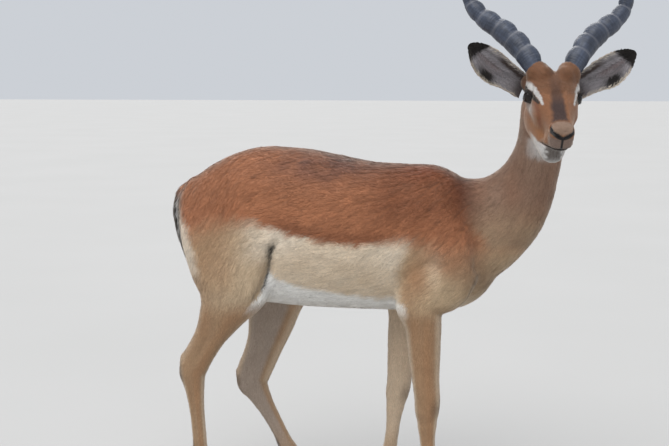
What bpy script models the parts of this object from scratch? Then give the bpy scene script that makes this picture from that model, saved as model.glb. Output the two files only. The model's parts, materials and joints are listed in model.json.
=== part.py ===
"""Impala ram, life size, standing with its head turned to its own right.

Metres, +Z up, +X ahead of the animal, +Y its left.  The flesh is one body, lofted
bone by bone, fused, and then parted into trunk, neck, head and legs by thin cuts.
"""

import math

import bmesh
import bpy
import numpy as np
from mathutils import Matrix, Vector

# ------------------------------------------------------------ driving dimensions
GAP = 0.0003  # clearance between neighbouring parts
VOXEL = 0.006  # grain of the fused flesh
FLESH_FACES = 4200  # triangles kept for the whole flesh
CORONET_Z = 0.046  # top of the hooves
LEG_CUT_Z = 0.487  # legs part from the trunk just under the belly

# Trunk: x, height of the widest line, up to the back, down to the belly, half width.
TRUNK = (
    (-0.392, 0.742, 0.034, 0.045, 0.030),
    (-0.378, 0.732, 0.078, 0.083, 0.064),
    (-0.338, 0.720, 0.120, 0.112, 0.095),
    (-0.268, 0.705, 0.177, 0.152, 0.114),
    (-0.190, 0.700, 0.206, 0.176, 0.124),
    (-0.100, 0.700, 0.206, 0.187, 0.134),
    (0.000, 0.700, 0.191, 0.190, 0.140),
    (0.100, 0.700, 0.172, 0.191, 0.134),
    (0.190, 0.700, 0.168, 0.190, 0.120),
    (0.255, 0.700, 0.165, 0.186, 0.108),
    (0.318, 0.700, 0.134, 0.180, 0.094),
    (0.364, 0.695, 0.098, 0.148, 0.078),
    (0.392, 0.682, 0.060, 0.098, 0.056),
    (0.408, 0.664, 0.030, 0.048, 0.030),
)
# Neck: centre, up to the nape, down to the throat, half width, turn in degrees.
NECK = (
    (0.290, 0.000, 0.715, 0.114, 0.150, 0.075, 0.0),
    (0.346, 0.000, 0.733, 0.107, 0.146, 0.081, 0.0),
    (0.404, -0.006, 0.763, 0.088, 0.118, 0.075, -8.0),
    (0.450, -0.022, 0.811, 0.071, 0.091, 0.064, -22.0),
    (0.480, -0.050, 0.866, 0.059, 0.070, 0.055, -40.0),
    (0.496, -0.084, 0.920, 0.053, 0.063, 0.051, -58.0),
    (0.503, -0.112, 0.972, 0.052, 0.062, 0.051, -72.0),
    (0.506, -0.136, 1.020, 0.048, 0.060, 0.049, -80.0),
    (0.508, -0.150, 1.050, 0.036, 0.044, 0.040, -80.0),
)
# Head: its own frame has X along the jaw to the nose, Y to its left, Z up, and its
# origin midway between the eyes.
HEAD_AT = (0.523, -0.215, 1.033)
HEAD_YAW, HEAD_PITCH, HEAD_ROLL = -80.0, 20.0, -1.8
# Each: x, height of the widest line, up, down, half width.
SKULL = (
    (-0.106, 0.006, 0.010, 0.026, 0.022),
    (-0.094, 0.006, 0.020, 0.044, 0.040),
    (-0.065, 0.004, 0.033, 0.056, 0.051),
    (-0.030, 0.002, 0.045, 0.064, 0.054),
    (0.000, -0.002, 0.052, 0.066, 0.055),
    (0.030, -0.010, 0.051, 0.060, 0.050),
    (0.060, -0.018, 0.047, 0.054, 0.045),
    (0.090, -0.024, 0.041, 0.046, 0.034),
    (0.120, -0.030, 0.034, 0.038, 0.0275),
    (0.142, -0.034, 0.030, 0.032, 0.0265),
    (0.154, -0.036, 0.025, 0.027, 0.0225),
    (0.160, -0.037, 0.014, 0.016, 0.0130),
)
JAW = (
    (-0.058, -0.050, 0.030, 0.030, 0.035),
    (-0.036, -0.052, 0.036, 0.046, 0.048),
    (0.000, -0.058, 0.036, 0.046, 0.0495),
    (0.040, -0.066, 0.034, 0.039, 0.0415),
    (0.080, -0.072, 0.028, 0.032, 0.0335),
    (0.110, -0.076, 0.022, 0.028, 0.0280),
    (0.130, -0.078, 0.018, 0.023, 0.0215),
    (0.141, -0.078, 0.010, 0.014, 0.0125),
)
JAW_SWING = 0.011  # how far the jaw's tip is swung to the animal's right, as in chewing
# Lumps of the head, for its left side: centre, then half sizes.
BROW = ((-0.006, 0.046, 0.012), (0.029, 0.0165, 0.022))
CHEEK = ((0.034, 0.030, -0.034), (0.040, 0.012, 0.026))
PEDICLE = ((-0.028, 0.036, 0.044), (0.026, 0.025, 0.026))
EAR_ROOT = ((-0.062, 0.050, 0.014), (0.022, 0.020, 0.024))
LIP = ((0.118, 0.018, -0.054), (0.026, 0.016, 0.017))
EYE_AT, EYE_RADIUS = (0.000, 0.0472, 0.000), 0.0168
# Horn, in the head's place but upright and turned only: ahead, left, up.
HORN = (
    (-0.010, 0.035, 0.058),
    (-0.026, 0.054, 0.089),
    (-0.058, 0.081, 0.121),
    (-0.082, 0.113, 0.148),
    (-0.102, 0.147, 0.172),
    (-0.120, 0.173, 0.202),
    (-0.134, 0.183, 0.244),
    (-0.144, 0.188, 0.304),
    (-0.142, 0.182, 0.372),
    (-0.122, 0.168, 0.440),
    (-0.090, 0.153, 0.498),
    (-0.062, 0.144, 0.532),
)
HORN_RADII = (0.0252, 0.0238, 0.0222, 0.0205, 0.0188, 0.0172,
              0.0158, 0.0140, 0.0117, 0.0087, 0.0052, 0.0015)
HORN_RING, HORN_RINGS, RINGED_SHARE = 0.0030, 12, 0.72
HORN_STATIONS, HORN_SIDES = 56, 8
# Ear: root and tip, in the horn's frame.
EAR_FROM, EAR_TO = (-0.050, 0.052, 0.016), (-0.018, 0.187, 0.108)
EAR_REACH = {-1: 1.0, 1: 0.955}  # the right ear (-1) shows its whole length, the left is turned a little
# Share of the way out, half width, set down.
EAR_SHAPE = ((0.00, 0.026, 0.000), (0.30, 0.0295, 0.003), (0.50, 0.0355, 0.006),
             (0.70, 0.0325, 0.005), (0.85, 0.0230, 0.002), (0.95, 0.0115, 0.000), (1.00, 0.0030, 0.000))
EAR_CUP, EAR_THICK = 0.019, 0.004
# Tail: centre, thickness towards the back, towards the body, half width.
TAIL = (
    (-0.356, 0.0, 0.808, 0.020, 0.020, 0.022),
    (-0.382, 0.0, 0.788, 0.016, 0.020, 0.020),
    (-0.393, 0.0, 0.750, 0.012, 0.020, 0.018),
    (-0.386, 0.0, 0.700, 0.011, 0.020, 0.017),
    (-0.371, 0.0, 0.645, 0.010, 0.018, 0.016),
    (-0.358, 0.0, 0.600, 0.009, 0.013, 0.013),
    (-0.351, 0.0, 0.572, 0.006, 0.007, 0.008),
    (-0.348, 0.0, 0.560, 0.003, 0.003, 0.003),
)
# Legs: joints from the top down, then the share of the way along them, the
# thickness in front and behind, and the half width.
FORE_JOINTS = {
    "right": ((0.335, -0.078, 0.640), (0.228, -0.092, 0.540), (0.241, -0.088, 0.300),
              (0.247, -0.084, 0.100), (0.262, -0.084, 0.040)),
    "left": ((0.310, 0.078, 0.640), (0.172, 0.092, 0.535), (0.150, 0.088, 0.292),
             (0.128, 0.084, 0.100), (0.143, 0.084, 0.040)),
}
FORE_SHAPE = (
    (0.00, 0.040, 0.040, 0.026),
    (0.45, 0.066, 0.066, 0.040),
    (1.00, 0.050, 0.066, 0.037),
    (1.20, 0.045, 0.046, 0.032),
    (1.50, 0.039, 0.039, 0.028),
    (1.75, 0.034, 0.034, 0.025),
    (1.97, 0.032, 0.030, 0.0245),
    (2.12, 0.030, 0.030, 0.0230),
    (2.26, 0.025, 0.026, 0.0195),
    (2.42, 0.0195, 0.021, 0.0162),
    (2.62, 0.0178, 0.018, 0.0150),
    (2.85, 0.0182, 0.020, 0.0158),
    (3.00, 0.0205, 0.025, 0.0185),
    (3.35, 0.0190, 0.022, 0.0170),
    (3.80, 0.0215, 0.024, 0.0195),
    (4.20, 0.0235, 0.025, 0.0210),
)
HIND_JOINTS = {
    "right": ((-0.275, -0.062, 0.770), (-0.214, -0.098, 0.562), (-0.337, -0.092, 0.355),
              (-0.322, -0.084, 0.102), (-0.304, -0.084, 0.040)),
    "left": ((-0.255, 0.062, 0.770), (-0.150, 0.098, 0.546), (-0.234, 0.094, 0.288),
             (-0.132, 0.086, 0.104), (-0.104, 0.086, 0.040)),
}
HIND_SHAPE = (
    (0.00, 0.095, 0.108, 0.040),
    (0.35, 0.108, 0.118, 0.052),
    (0.70, 0.098, 0.114, 0.050),
    (1.00, 0.070, 0.103, 0.045),
    (1.20, 0.053, 0.084, 0.041),
    (1.40, 0.040, 0.064, 0.035),
    (1.60, 0.030, 0.049, 0.028),
    (1.78, 0.028, 0.046, 0.024),
    (1.90, 0.029, 0.046, 0.0225),
    (2.02, 0.029, 0.040, 0.0225),
    (2.14, 0.024, 0.031, 0.0195),
    (2.30, 0.0195, 0.024, 0.0160),
    (2.60, 0.0180, 0.019, 0.0148),
    (2.85, 0.0185, 0.021, 0.0160),
    (3.00, 0.0210, 0.026, 0.0188),
    (3.35, 0.0192, 0.023, 0.0172),
    (3.80, 0.0215, 0.024, 0.0195),
    (4.20, 0.0235, 0.025, 0.0210),
)
HIND_LEFT_FULLER = (  # share of the way, more in front, more behind
    (1.0, 0.000, 0.000), (1.2, 0.010, 0.000), (1.4, 0.019, 0.000), (1.6, 0.021, 0.000), (1.8, 0.017, 0.002),
    (2.0, 0.009, 0.006), (2.2, 0.006, 0.006), (2.5, 0.003, 0.003), (2.9, 0.000, 0.000),
)
HOCK_POINT = (0.0223, 0.0225, 0.018)  # the heel bone: behind and above the hock joint, and its size
# Shoulder blade, for the left side: centre, half thicknesses, half width.
BLADE = (
    (0.215, 0.044, 0.836, 0.022, 0.022, 0.012),
    (0.232, 0.062, 0.796, 0.046, 0.052, 0.026),
    (0.262, 0.080, 0.730, 0.054, 0.062, 0.032),
    (0.300, 0.088, 0.660, 0.050, 0.062, 0.031),
    (0.318, 0.086, 0.620, 0.034, 0.040, 0.024),
)
# One claw of a hoof: height, set forward, front, behind, half width.
CLAW = (
    (0.044, 0.000, 0.0180, 0.0200, 0.0095),
    (0.032, 0.003, 0.0225, 0.0225, 0.0105),
    (0.012, 0.008, 0.0300, 0.0245, 0.0112),
    (0.003, 0.010, 0.0325, 0.0250, 0.0113),
    (0.000, 0.010, 0.0315, 0.0240, 0.0105),
)
CLAW_SPREAD = 0.0120  # half the distance between the two claws' centres

MATERIALS = {
    "coat_saddle": ((0.33, 0.115, 0.035), 0.75),
    "coat_tan": ((0.50, 0.27, 0.13), 0.75),
    "coat_ear": ((0.45, 0.36, 0.30), 0.75),
    "coat_tail": ((0.10, 0.07, 0.05), 0.75),
    "horn": ((0.10, 0.085, 0.075), 0.45),
    "hoof": ((0.025, 0.020, 0.018), 0.40),
    "eye": ((0.012, 0.008, 0.006), 0.05),
}


# ------------------------------------------------------------------------ helpers
def clear_scene():
    """Empties the scene, and makes the collections of the animal and its cutters."""
    for obj in list(bpy.data.objects):
        bpy.data.objects.remove(obj, do_unlink=True)
    animal = bpy.data.collections.new("impala")
    cutters = bpy.data.collections.new("cutters")
    cutters.hide_render = True
    for collection in (animal, cutters):
        bpy.context.scene.collection.children.link(collection)
    return animal, cutters


def material(name):
    colour, roughness = MATERIALS[name]
    made = bpy.data.materials.new(name)
    made.use_nodes = True
    shader = made.node_tree.nodes["Principled BSDF"]
    shader.inputs["Base Color"].default_value = (*colour, 1.0)
    shader.inputs["Roughness"].default_value = roughness
    shader.inputs["Metallic"].default_value = 0.0
    return made


def smooth(rows, steps):
    """Rows of numbers at uneven stations, joined by a curve through all of them."""
    rows = np.array(rows, float)
    spans = np.linalg.norm(np.diff(rows[:, :3], axis=0), axis=1)
    at = np.concatenate([[0.0], np.cumsum(spans)])
    slopes = np.gradient(rows, at, axis=0)
    out = []
    for i, span in enumerate(spans):
        for t in np.arange(steps) / steps:
            a = (1 + 2 * t) * (1 - t) ** 2
            b = t**2 * (3 - 2 * t)
            c = t * (1 - t) ** 2 * span
            d = t**2 * (t - 1) * span
            out.append(a * rows[i] + b * rows[i + 1] + c * slopes[i] + d * slopes[i + 1])
    out.append(rows[-1])
    return np.array(out)


def mesh_object(name, points, faces, collection):
    mesh = bpy.data.meshes.new(name)
    mesh.from_pydata([tuple(p) for p in points], [], faces)
    mesh.update()
    obj = bpy.data.objects.new(name, mesh)
    collection.objects.link(obj)
    return obj


def tube(rings, name, collection):
    """A closed skin through rings that all hold the same number of points."""
    count = len(rings[0])
    faces = [
        (i * count + k, i * count + (k + 1) % count, (i + 1) * count + (k + 1) % count, (i + 1) * count + k)
        for i in range(len(rings) - 1)
        for k in range(count)
    ]
    last = (len(rings) - 1) * count
    faces.append(tuple(range(count))[::-1])
    faces.append(tuple(last + k for k in range(count)))
    obj = mesh_object(name, np.concatenate(rings), faces, collection)
    face_out(obj)
    return obj


def face_out(obj):
    bm = bmesh.new()
    bm.from_mesh(obj.data)
    bmesh.ops.recalc_face_normals(bm, faces=bm.faces)
    bm.to_mesh(obj.data)
    bm.free()


def loft(rows, name, collection, around=28, steps=4, power=2.2, square_to=None):
    """Egg-shaped sections square to a path: x, y, z, up, down, side and, last, turn.

    Up is the side of the path that faces the back of a level body, and the front of
    a leg.  With square_to, every section is square to that direction instead.
    """
    rows = np.array(rows, float)
    if rows.shape[1] == 6:
        rows = np.column_stack([rows, np.zeros(len(rows))])
    rows = smooth(rows, steps)
    tangents = np.gradient(rows[:, :3], axis=0)
    if square_to is not None:
        tangents = np.tile(np.array(square_to, float), (len(rows), 1))
    angles = np.arange(around) * 2 * math.pi / around
    across = np.sign(np.cos(angles)) * np.abs(np.cos(angles)) ** (2 / power)
    along = np.sign(np.sin(angles)) * np.abs(np.sin(angles)) ** (2 / power)
    rings = []
    for row, tangent in zip(rows, tangents):
        tangent = tangent / np.linalg.norm(tangent)
        turn = math.radians(row[6])
        side = np.array([-math.sin(turn), math.cos(turn), 0.0])
        side = side - tangent * (side @ tangent)
        side = side / np.linalg.norm(side)
        up = np.cross(tangent, side)
        height = np.where(along > 0, along * max(row[3], 1e-4), along * max(row[4], 1e-4))
        rings.append(row[:3] + np.outer(across * max(row[5], 1e-4), side) + np.outer(height, up))
    return tube(rings, name, collection)


def level(rows):
    """Rows of a level body (x, z, up, down, side) as rows of a loft."""
    return [(x, 0.0, z, up, down, side) for x, z, up, down, side in rows]


def ellipsoid(centre, half_sizes, name, collection, detail=3):
    bpy.ops.mesh.primitive_ico_sphere_add(subdivisions=detail, radius=1.0)
    obj = bpy.context.active_object
    for owner in list(obj.users_collection):
        owner.objects.unlink(obj)
    collection.objects.link(obj)
    obj.name = name
    obj.data.transform(Matrix.Translation(centre) @ Matrix.Diagonal((*half_sizes, 1.0)))
    return obj


def mirrored(row, side):
    return (row[0], row[1] * side, row[2], *row[3:])


def swung_jaw():
    """Rows of the jaw, set over to the animal's right towards its tip."""
    back, tip = JAW[0][0], JAW[-1][0]
    return [(x, -JAW_SWING * (x - back) / (tip - back), z, up, down, half) for x, z, up, down, half in JAW]


def hind_shape(side):
    """The hind leg's shape; the left one is fuller about the hock."""
    if side == "right":
        return HIND_SHAPE
    at, ahead, back = zip(*HIND_LEFT_FULLER)
    return [(share, front + np.interp(share, at, ahead), behind + np.interp(share, at, back), half)
            for share, front, behind, half in HIND_SHAPE]


def along_joints(joints, shape):
    """Rows of a leg: its shape's shares of the way turned into places."""
    joints = np.array(joints, float)
    rows = []
    for share, front, behind, half in shape:
        k = min(int(share), len(joints) - 2)
        rows.append((*(joints[k] + (joints[k + 1] - joints[k]) * (share - k)), front, behind, half))
    return rows


def fused(objects, name, collection):
    """The objects as one object; the meshes still overlap."""
    made = bmesh.new()
    for obj in objects:
        part = obj.data.copy()
        part.transform(obj.matrix_world)
        made.from_mesh(part)
    mesh = bpy.data.meshes.new(name)
    made.to_mesh(mesh)
    made.free()
    for obj in objects:
        bpy.data.objects.remove(obj, do_unlink=True)
    obj = bpy.data.objects.new(name, mesh)
    collection.objects.link(obj)
    return obj


def settled(obj):
    """Turns the object's modifiers into its mesh."""
    bpy.context.view_layer.update()
    graph = bpy.context.evaluated_depsgraph_get()
    mesh = bpy.data.meshes.new_from_object(obj.evaluated_get(graph))
    obj.modifiers.clear()
    obj.data = mesh
    return obj


def boolean(obj, other, operation):
    cut = obj.modifiers.new(operation, "BOOLEAN")
    cut.operation = operation
    cut.solver = "EXACT"
    cut.object = other
    return settled(obj)


def grown(objects, by, name, collection):
    """A cutter: the objects as one mesh whose skin stands out by this much."""
    copies = []
    for obj in objects:
        copy = bpy.data.objects.new(name, obj.data.copy())
        collection.objects.link(copy)
        copies.append(copy)
    swollen = copies[0] if len(copies) == 1 else fused(copies, name, collection)
    swell = swollen.modifiers.new("grow", "DISPLACE")
    swell.strength = by
    swell.mid_level = 0.0
    settled(swollen)
    swollen.display_type = "WIRE"
    return swollen


def slab(centre, normal, size, thickness, name, collection):
    """A thin plate across a limb, square to the normal."""
    bpy.ops.mesh.primitive_cube_add(size=1.0)
    obj = bpy.context.active_object
    for owner in list(obj.users_collection):
        owner.objects.unlink(obj)
    collection.objects.link(obj)
    obj.name = name
    turn = Vector((0, 0, 1)).rotation_difference(Vector(normal)).to_matrix().to_4x4()
    obj.data.transform(Matrix.Translation(centre) @ turn @ Matrix.Diagonal((*size, thickness, 1.0)))
    obj.display_type = "WIRE"
    return obj


def upright_head():
    turn = Matrix.Rotation(math.radians(HEAD_YAW), 4, "Z")
    roll = Matrix.Rotation(math.radians(HEAD_ROLL), 4, "X")
    return Matrix.Translation(HEAD_AT) @ turn @ roll


def head_frame():
    return upright_head() @ Matrix.Rotation(math.radians(HEAD_PITCH), 4, "Y")


# -------------------------------------------------------------------------- flesh
def head_masses(collection):
    masses = [
        loft(level(SKULL), "skull", collection, power=2.4),
        loft(swung_jaw(), "jaw", collection, power=2.4),
    ]
    for side in (1, -1):
        for centre, half_sizes in (BROW, CHEEK, PEDICLE, EAR_ROOT, LIP):
            masses.append(ellipsoid(mirrored(centre, side), half_sizes, "lump", collection))
    for mass in masses:
        mass.data.transform(head_frame())
    return masses


def body_masses(collection):
    masses = [
        loft(level(TRUNK), "trunk_mass", collection, around=36, square_to=(1, 0, 0)),
        loft(NECK, "neck_mass", collection, around=32),
    ]
    for side, sign in (("right", -1), ("left", 1)):
        masses.append(loft([mirrored(r, sign) for r in BLADE], "blade", collection))
        masses.append(loft(along_joints(FORE_JOINTS[side], FORE_SHAPE), "foreleg", collection))
        masses.append(loft(along_joints(HIND_JOINTS[side], hind_shape(side)), "hindleg", collection))
        masses.append(hock_point(HIND_JOINTS[side], collection))
    return masses


def hock_point(joints, collection):
    """The heel bone, which stands up behind the hock in line with the cannon."""
    hock, fetlock = Vector(joints[2]), Vector(joints[3])
    down = (fetlock - hock).normalized()
    behind = Vector((0, 1, 0)).cross(down).normalized()
    set_back, set_up, size = HOCK_POINT
    lump = ellipsoid((0, 0, 0), (size * 0.75, size * 0.7, size * 1.5), "heel_bone", collection)
    turn = Vector((0, 0, -1)).rotation_difference(down).to_matrix().to_4x4()
    lump.data.transform(Matrix.Translation(hock + behind * set_back - down * set_up) @ turn)
    return lump


def make_flesh(collection):
    flesh = fused(body_masses(collection) + head_masses(collection), "flesh", collection)
    remesh = flesh.modifiers.new("fuse", "REMESH")
    remesh.mode = "VOXEL"
    remesh.voxel_size = VOXEL
    settle = flesh.modifiers.new("settle", "SMOOTH")
    settle.factor = 0.5
    settle.iterations = 6
    settled(flesh)
    thin = flesh.modifiers.new("thin", "DECIMATE")
    triangles = sum(len(p.vertices) - 2 for p in flesh.data.polygons)
    thin.ratio = FLESH_FACES / triangles
    thin.use_collapse_triangulate = True
    return settled(flesh)


def part_flesh(flesh, animal, cutters):
    """Cuts the flesh by thin plates, and makes each piece that falls out an object."""
    floor = slab((0, 0, CORONET_Z + GAP - 0.15), (0, 0, 1), (3, 3), 0.3, "below_coronets", cutters)
    legs = slab((0, 0, LEG_CUT_Z), (0, 0, 1), (3, 3), GAP, "leg_cut", cutters)
    neck = slab((0.378, 0.0, 0.765), (0.80, 0.0, 0.60), (0.5, 0.5), GAP, "neck_cut", cutters)
    head = slab((-0.078, 0.0, -0.035), (0.93, 0.0, 0.37), (0.42, 0.42), GAP, "head_cut", cutters)
    head.data.transform(head_frame())
    for cutter in (floor, legs, neck, head):
        boolean(flesh, cutter, "DIFFERENCE")
    for side, sign in (("left", 1), ("right", -1)):
        socket = ellipsoid(mirrored(EYE_AT, sign), (EYE_RADIUS + GAP,) * 3, "socket_" + side, cutters, 2)
        socket.data.transform(head_frame())
        socket.display_type = "WIRE"
        boolean(flesh, socket, "DIFFERENCE")
    pieces = {}
    for points, faces in islands(flesh.data):
        name = piece_name(points)
        if name in pieces and len(pieces[name][0]) > len(points):
            continue
        pieces[name] = (points, faces)
    bpy.data.objects.remove(flesh, do_unlink=True)
    return {name: mesh_object(name, *piece, animal) for name, piece in pieces.items()}


def islands(mesh):
    """The points and faces of each loose piece of a mesh."""
    bm = bmesh.new()
    bm.from_mesh(mesh)
    left = set(bm.verts)
    while left:
        piece, edge = set(), [left.pop()]
        while edge:
            vert = edge.pop()
            piece.add(vert)
            for link in vert.link_edges:
                other = link.other_vert(vert)
                if other in left:
                    left.remove(other)
                    edge.append(other)
        order = sorted(piece, key=lambda v: v.index)
        index = {vert: i for i, vert in enumerate(order)}
        faces = [tuple(index[v] for v in f.verts) for f in bm.faces if f.verts[0] in index]
        yield np.array([v.co[:] for v in order]), faces
    bm.free()


def piece_name(points):
    low, high = points.min(axis=0), points.max(axis=0)
    middle = (low + high) / 2
    if high[2] < LEG_CUT_Z + GAP:
        end = "foreleg" if middle[0] > 0 else "hindleg"
        return end + ("_left" if middle[1] > 0 else "_right")
    if low[0] < 0:
        return "trunk"
    return "head" if (head_frame().inverted() @ Vector(middle)).x > -0.06 else "neck"


# ---------------------------------------------------------------- the other parts
def horn(side, collection):
    path = smooth([(*p, r) for p, r in zip(HORN, HORN_RADII)], 12)
    spans = np.linalg.norm(np.diff(path[:, :3], axis=0), axis=1)
    travelled = np.concatenate([[0.0], np.cumsum(spans)]) / spans.sum()
    share = np.linspace(0.0, 1.0, HORN_STATIONS)
    path = np.column_stack([np.interp(share, travelled, column) for column in path.T])
    ringed = np.clip((RINGED_SHARE - share) / 0.12, 0, 1)
    wave = 0.5 - 0.5 * np.cos(share / RINGED_SHARE * HORN_RINGS * 2 * math.pi)
    radii = path[:, 3] + HORN_RING * ringed * (wave**1.5 - 0.4)
    path[:, 1] *= side
    rings = []
    side_way = np.array([0.0, 1.0, 0.0])
    angles = np.arange(HORN_SIDES) * 2 * math.pi / HORN_SIDES
    for point, tangent, radius in zip(path[:, :3], np.gradient(path[:, :3], axis=0), radii):
        tangent = tangent / np.linalg.norm(tangent)
        ahead = np.cross(side_way, tangent)
        ahead = ahead / np.linalg.norm(ahead)
        side_way = np.cross(tangent, ahead)
        ring = np.outer(np.cos(angles), ahead) + np.outer(np.sin(angles), side_way)
        rings.append(point + radius * ring)
    obj = tube(rings, "horn_left" if side > 0 else "horn_right", collection)
    obj.data.transform(upright_head())
    return obj


def ear(side, collection):
    """A cupped leaf whose hollow faces forward, rolled to a tube at its root."""
    root, tip = np.array(EAR_FROM), np.array(EAR_TO)
    along = (tip - root) / np.linalg.norm(tip - root)
    facing = np.array([1.0, -0.10, -0.10])
    facing = facing - along * (facing @ along)
    facing = facing / np.linalg.norm(facing)
    across = np.cross(facing, along)
    length = np.linalg.norm(tip - root) * EAR_REACH[side]
    shape = np.array(EAR_SHAPE)
    points, columns, ranks = [], 7, 10
    for i in range(ranks):
        s = i / (ranks - 1)
        half = np.interp(s, shape[:, 0], shape[:, 1])
        down = np.interp(s, shape[:, 0], shape[:, 2])
        cup = EAR_CUP * (1 - 0.6 * s) * min(1.0, 40 * half)
        for k in range(columns):
            c = 2 * k / (columns - 1) - 1
            bend = cup * (1 - c * c)
            points.append(root + along * length * s - across * (c * half + down) - facing * bend)
    faces = [
        (i * columns + k, i * columns + k + 1, (i + 1) * columns + k + 1, (i + 1) * columns + k)
        for i in range(ranks - 1)
        for k in range(columns - 1)
    ]
    points = np.array(points)
    points[:, 1] *= side
    obj = mesh_object("ear_left" if side > 0 else "ear_right", points, faces, collection)
    skin = obj.modifiers.new("thickness", "SOLIDIFY")
    skin.thickness = EAR_THICK
    skin.offset = 0.0
    settled(obj)
    face_out(obj)
    obj.data.transform(upright_head())
    return obj


def hoof(coronet, name, collection):
    """Two claws under one coronet band, soles flat on the ground."""
    pieces = []
    for side in (1, -1):
        rows = [(ahead, side * CLAW_SPREAD, z, front, behind, half)
                for z, ahead, front, behind, half in CLAW]
        pieces.append(loft(rows, name, collection, 12, 1, 2.3, square_to=(0, 0, -1)))
    band = [(0.0, 0.0, CORONET_Z, 0.0195, 0.0215, 0.0205),
            (0.002, 0.0, CORONET_Z - 0.015, 0.0170, 0.0215, 0.0180)]
    pieces.append(loft(band, name, collection, 14, 1, 2.1, square_to=(0, 0, -1)))
    base = pieces.pop()
    for claw in pieces:
        boolean(base, claw, "UNION")
        bpy.data.objects.remove(claw, do_unlink=True)
    base.name = name
    base.data.transform(Matrix.Translation((coronet[0] - 0.002, coronet[1], 0.0)))
    return base


def flatten_sections(obj):
    """Puts points meant for the ground exactly on it."""
    for vert in obj.data.vertices:
        if vert.co.z < 0.0002:
            vert.co.z = 0.0


def build():
    animal, cutters = clear_scene()
    parts = part_flesh(make_flesh(animal), animal, cutters)
    for side, sign in (("left", 1), ("right", -1)):
        eye = ellipsoid(mirrored(EYE_AT, sign), (EYE_RADIUS,) * 3, "eye_" + side, animal, 2)
        eye.data.transform(head_frame())
        parts["eye_" + side] = eye
        clear_of_head = grown([parts["head"], parts["neck"]], GAP, "head_grown_" + side, cutters)
        parts["horn_" + side] = boolean(horn(sign, animal), clear_of_head, "DIFFERENCE")
        clear_of_horn = grown([parts["horn_" + side]], GAP, "horn_grown_" + side, cutters)
        leaf = boolean(ear(sign, animal), clear_of_head, "DIFFERENCE")
        parts["ear_" + side] = boolean(leaf, clear_of_horn, "DIFFERENCE")
        parts["hoof_fore_" + side] = hoof(FORE_JOINTS[side][4], "hoof_fore_" + side, animal)
        parts["hoof_hind_" + side] = hoof(HIND_JOINTS[side][4], "hoof_hind_" + side, animal)
    trunk = grown([parts["trunk"]], GAP, "trunk_grown", cutters)
    parts["tail"] = boolean(loft(TAIL, "tail", animal, around=12, steps=2), trunk, "DIFFERENCE")
    finish(parts)


def finish(parts):
    """Keeps the largest piece of each part, colours it and centres the whole."""
    slots = {"trunk": "coat_saddle", "neck": "coat_saddle", "tail": "coat_tail"}
    for name, obj in parts.items():
        points, faces = max(islands(obj.data), key=lambda piece: len(piece[0]))
        obj.data.clear_geometry()
        obj.data.from_pydata([tuple(p) for p in points], [], faces)
        face_out(obj)
        if name.startswith("hoof"):
            flatten_sections(obj)
        start = name.split("_")[0]
        slot = {"horn": "horn", "hoof": "hoof", "eye": "eye", "ear": "coat_ear"}.get(start)
        obj.data.materials.clear()
        obj.data.materials.append(material(slot or slots.get(name, "coat_tan")))
    points = np.concatenate([[v.co[:] for v in obj.data.vertices] for obj in parts.values()])
    middle = (points.min(axis=0) + points.max(axis=0)) / 2
    for obj in parts.values():
        obj.data.transform(Matrix.Translation((-middle[0], -middle[1], 0.0)))


build()
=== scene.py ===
"""Looks of the impala ram: one skin, its coat of tufts, head detail, horns and hooves.

Metres, +Z up.  The body's tables are in the animal's own frame (+X ahead, +Y left),
and one shift, read from the frame's eyes, carries them to where the CAD stands.
"""

import json
import math

import bmesh
import bpy
import numpy as np
from mathutils import Matrix, Vector
from mathutils.bvhtree import BVHTree
from mathutils.kdtree import KDTree

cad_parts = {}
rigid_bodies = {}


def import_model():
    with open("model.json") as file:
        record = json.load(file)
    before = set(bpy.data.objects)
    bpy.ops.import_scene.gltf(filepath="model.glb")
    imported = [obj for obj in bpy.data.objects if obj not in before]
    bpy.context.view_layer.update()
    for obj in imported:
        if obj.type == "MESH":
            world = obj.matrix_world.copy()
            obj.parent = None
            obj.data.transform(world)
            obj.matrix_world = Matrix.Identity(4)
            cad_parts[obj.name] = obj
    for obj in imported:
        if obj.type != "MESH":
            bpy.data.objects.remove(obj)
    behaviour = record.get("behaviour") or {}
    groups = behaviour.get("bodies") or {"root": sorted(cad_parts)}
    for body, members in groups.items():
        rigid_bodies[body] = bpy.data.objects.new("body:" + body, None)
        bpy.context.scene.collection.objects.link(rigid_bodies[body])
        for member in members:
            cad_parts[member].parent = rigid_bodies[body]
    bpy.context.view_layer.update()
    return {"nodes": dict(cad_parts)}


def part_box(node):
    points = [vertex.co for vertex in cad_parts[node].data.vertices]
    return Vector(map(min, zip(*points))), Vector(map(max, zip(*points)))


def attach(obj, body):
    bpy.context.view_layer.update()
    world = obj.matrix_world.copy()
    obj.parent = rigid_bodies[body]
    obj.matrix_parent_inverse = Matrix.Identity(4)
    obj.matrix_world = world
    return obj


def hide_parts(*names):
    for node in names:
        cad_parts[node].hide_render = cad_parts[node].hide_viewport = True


for obj in list(bpy.data.objects):
    bpy.data.objects.remove(obj, do_unlink=True)
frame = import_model()

SEED = 7
VOXEL = 0.0045  # grain of the fused skin
HEAD_CUTS = 2  # finer faces on the head: each edge gets this many more points
SHARE = 1.0  # share of the tufts that is made

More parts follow.
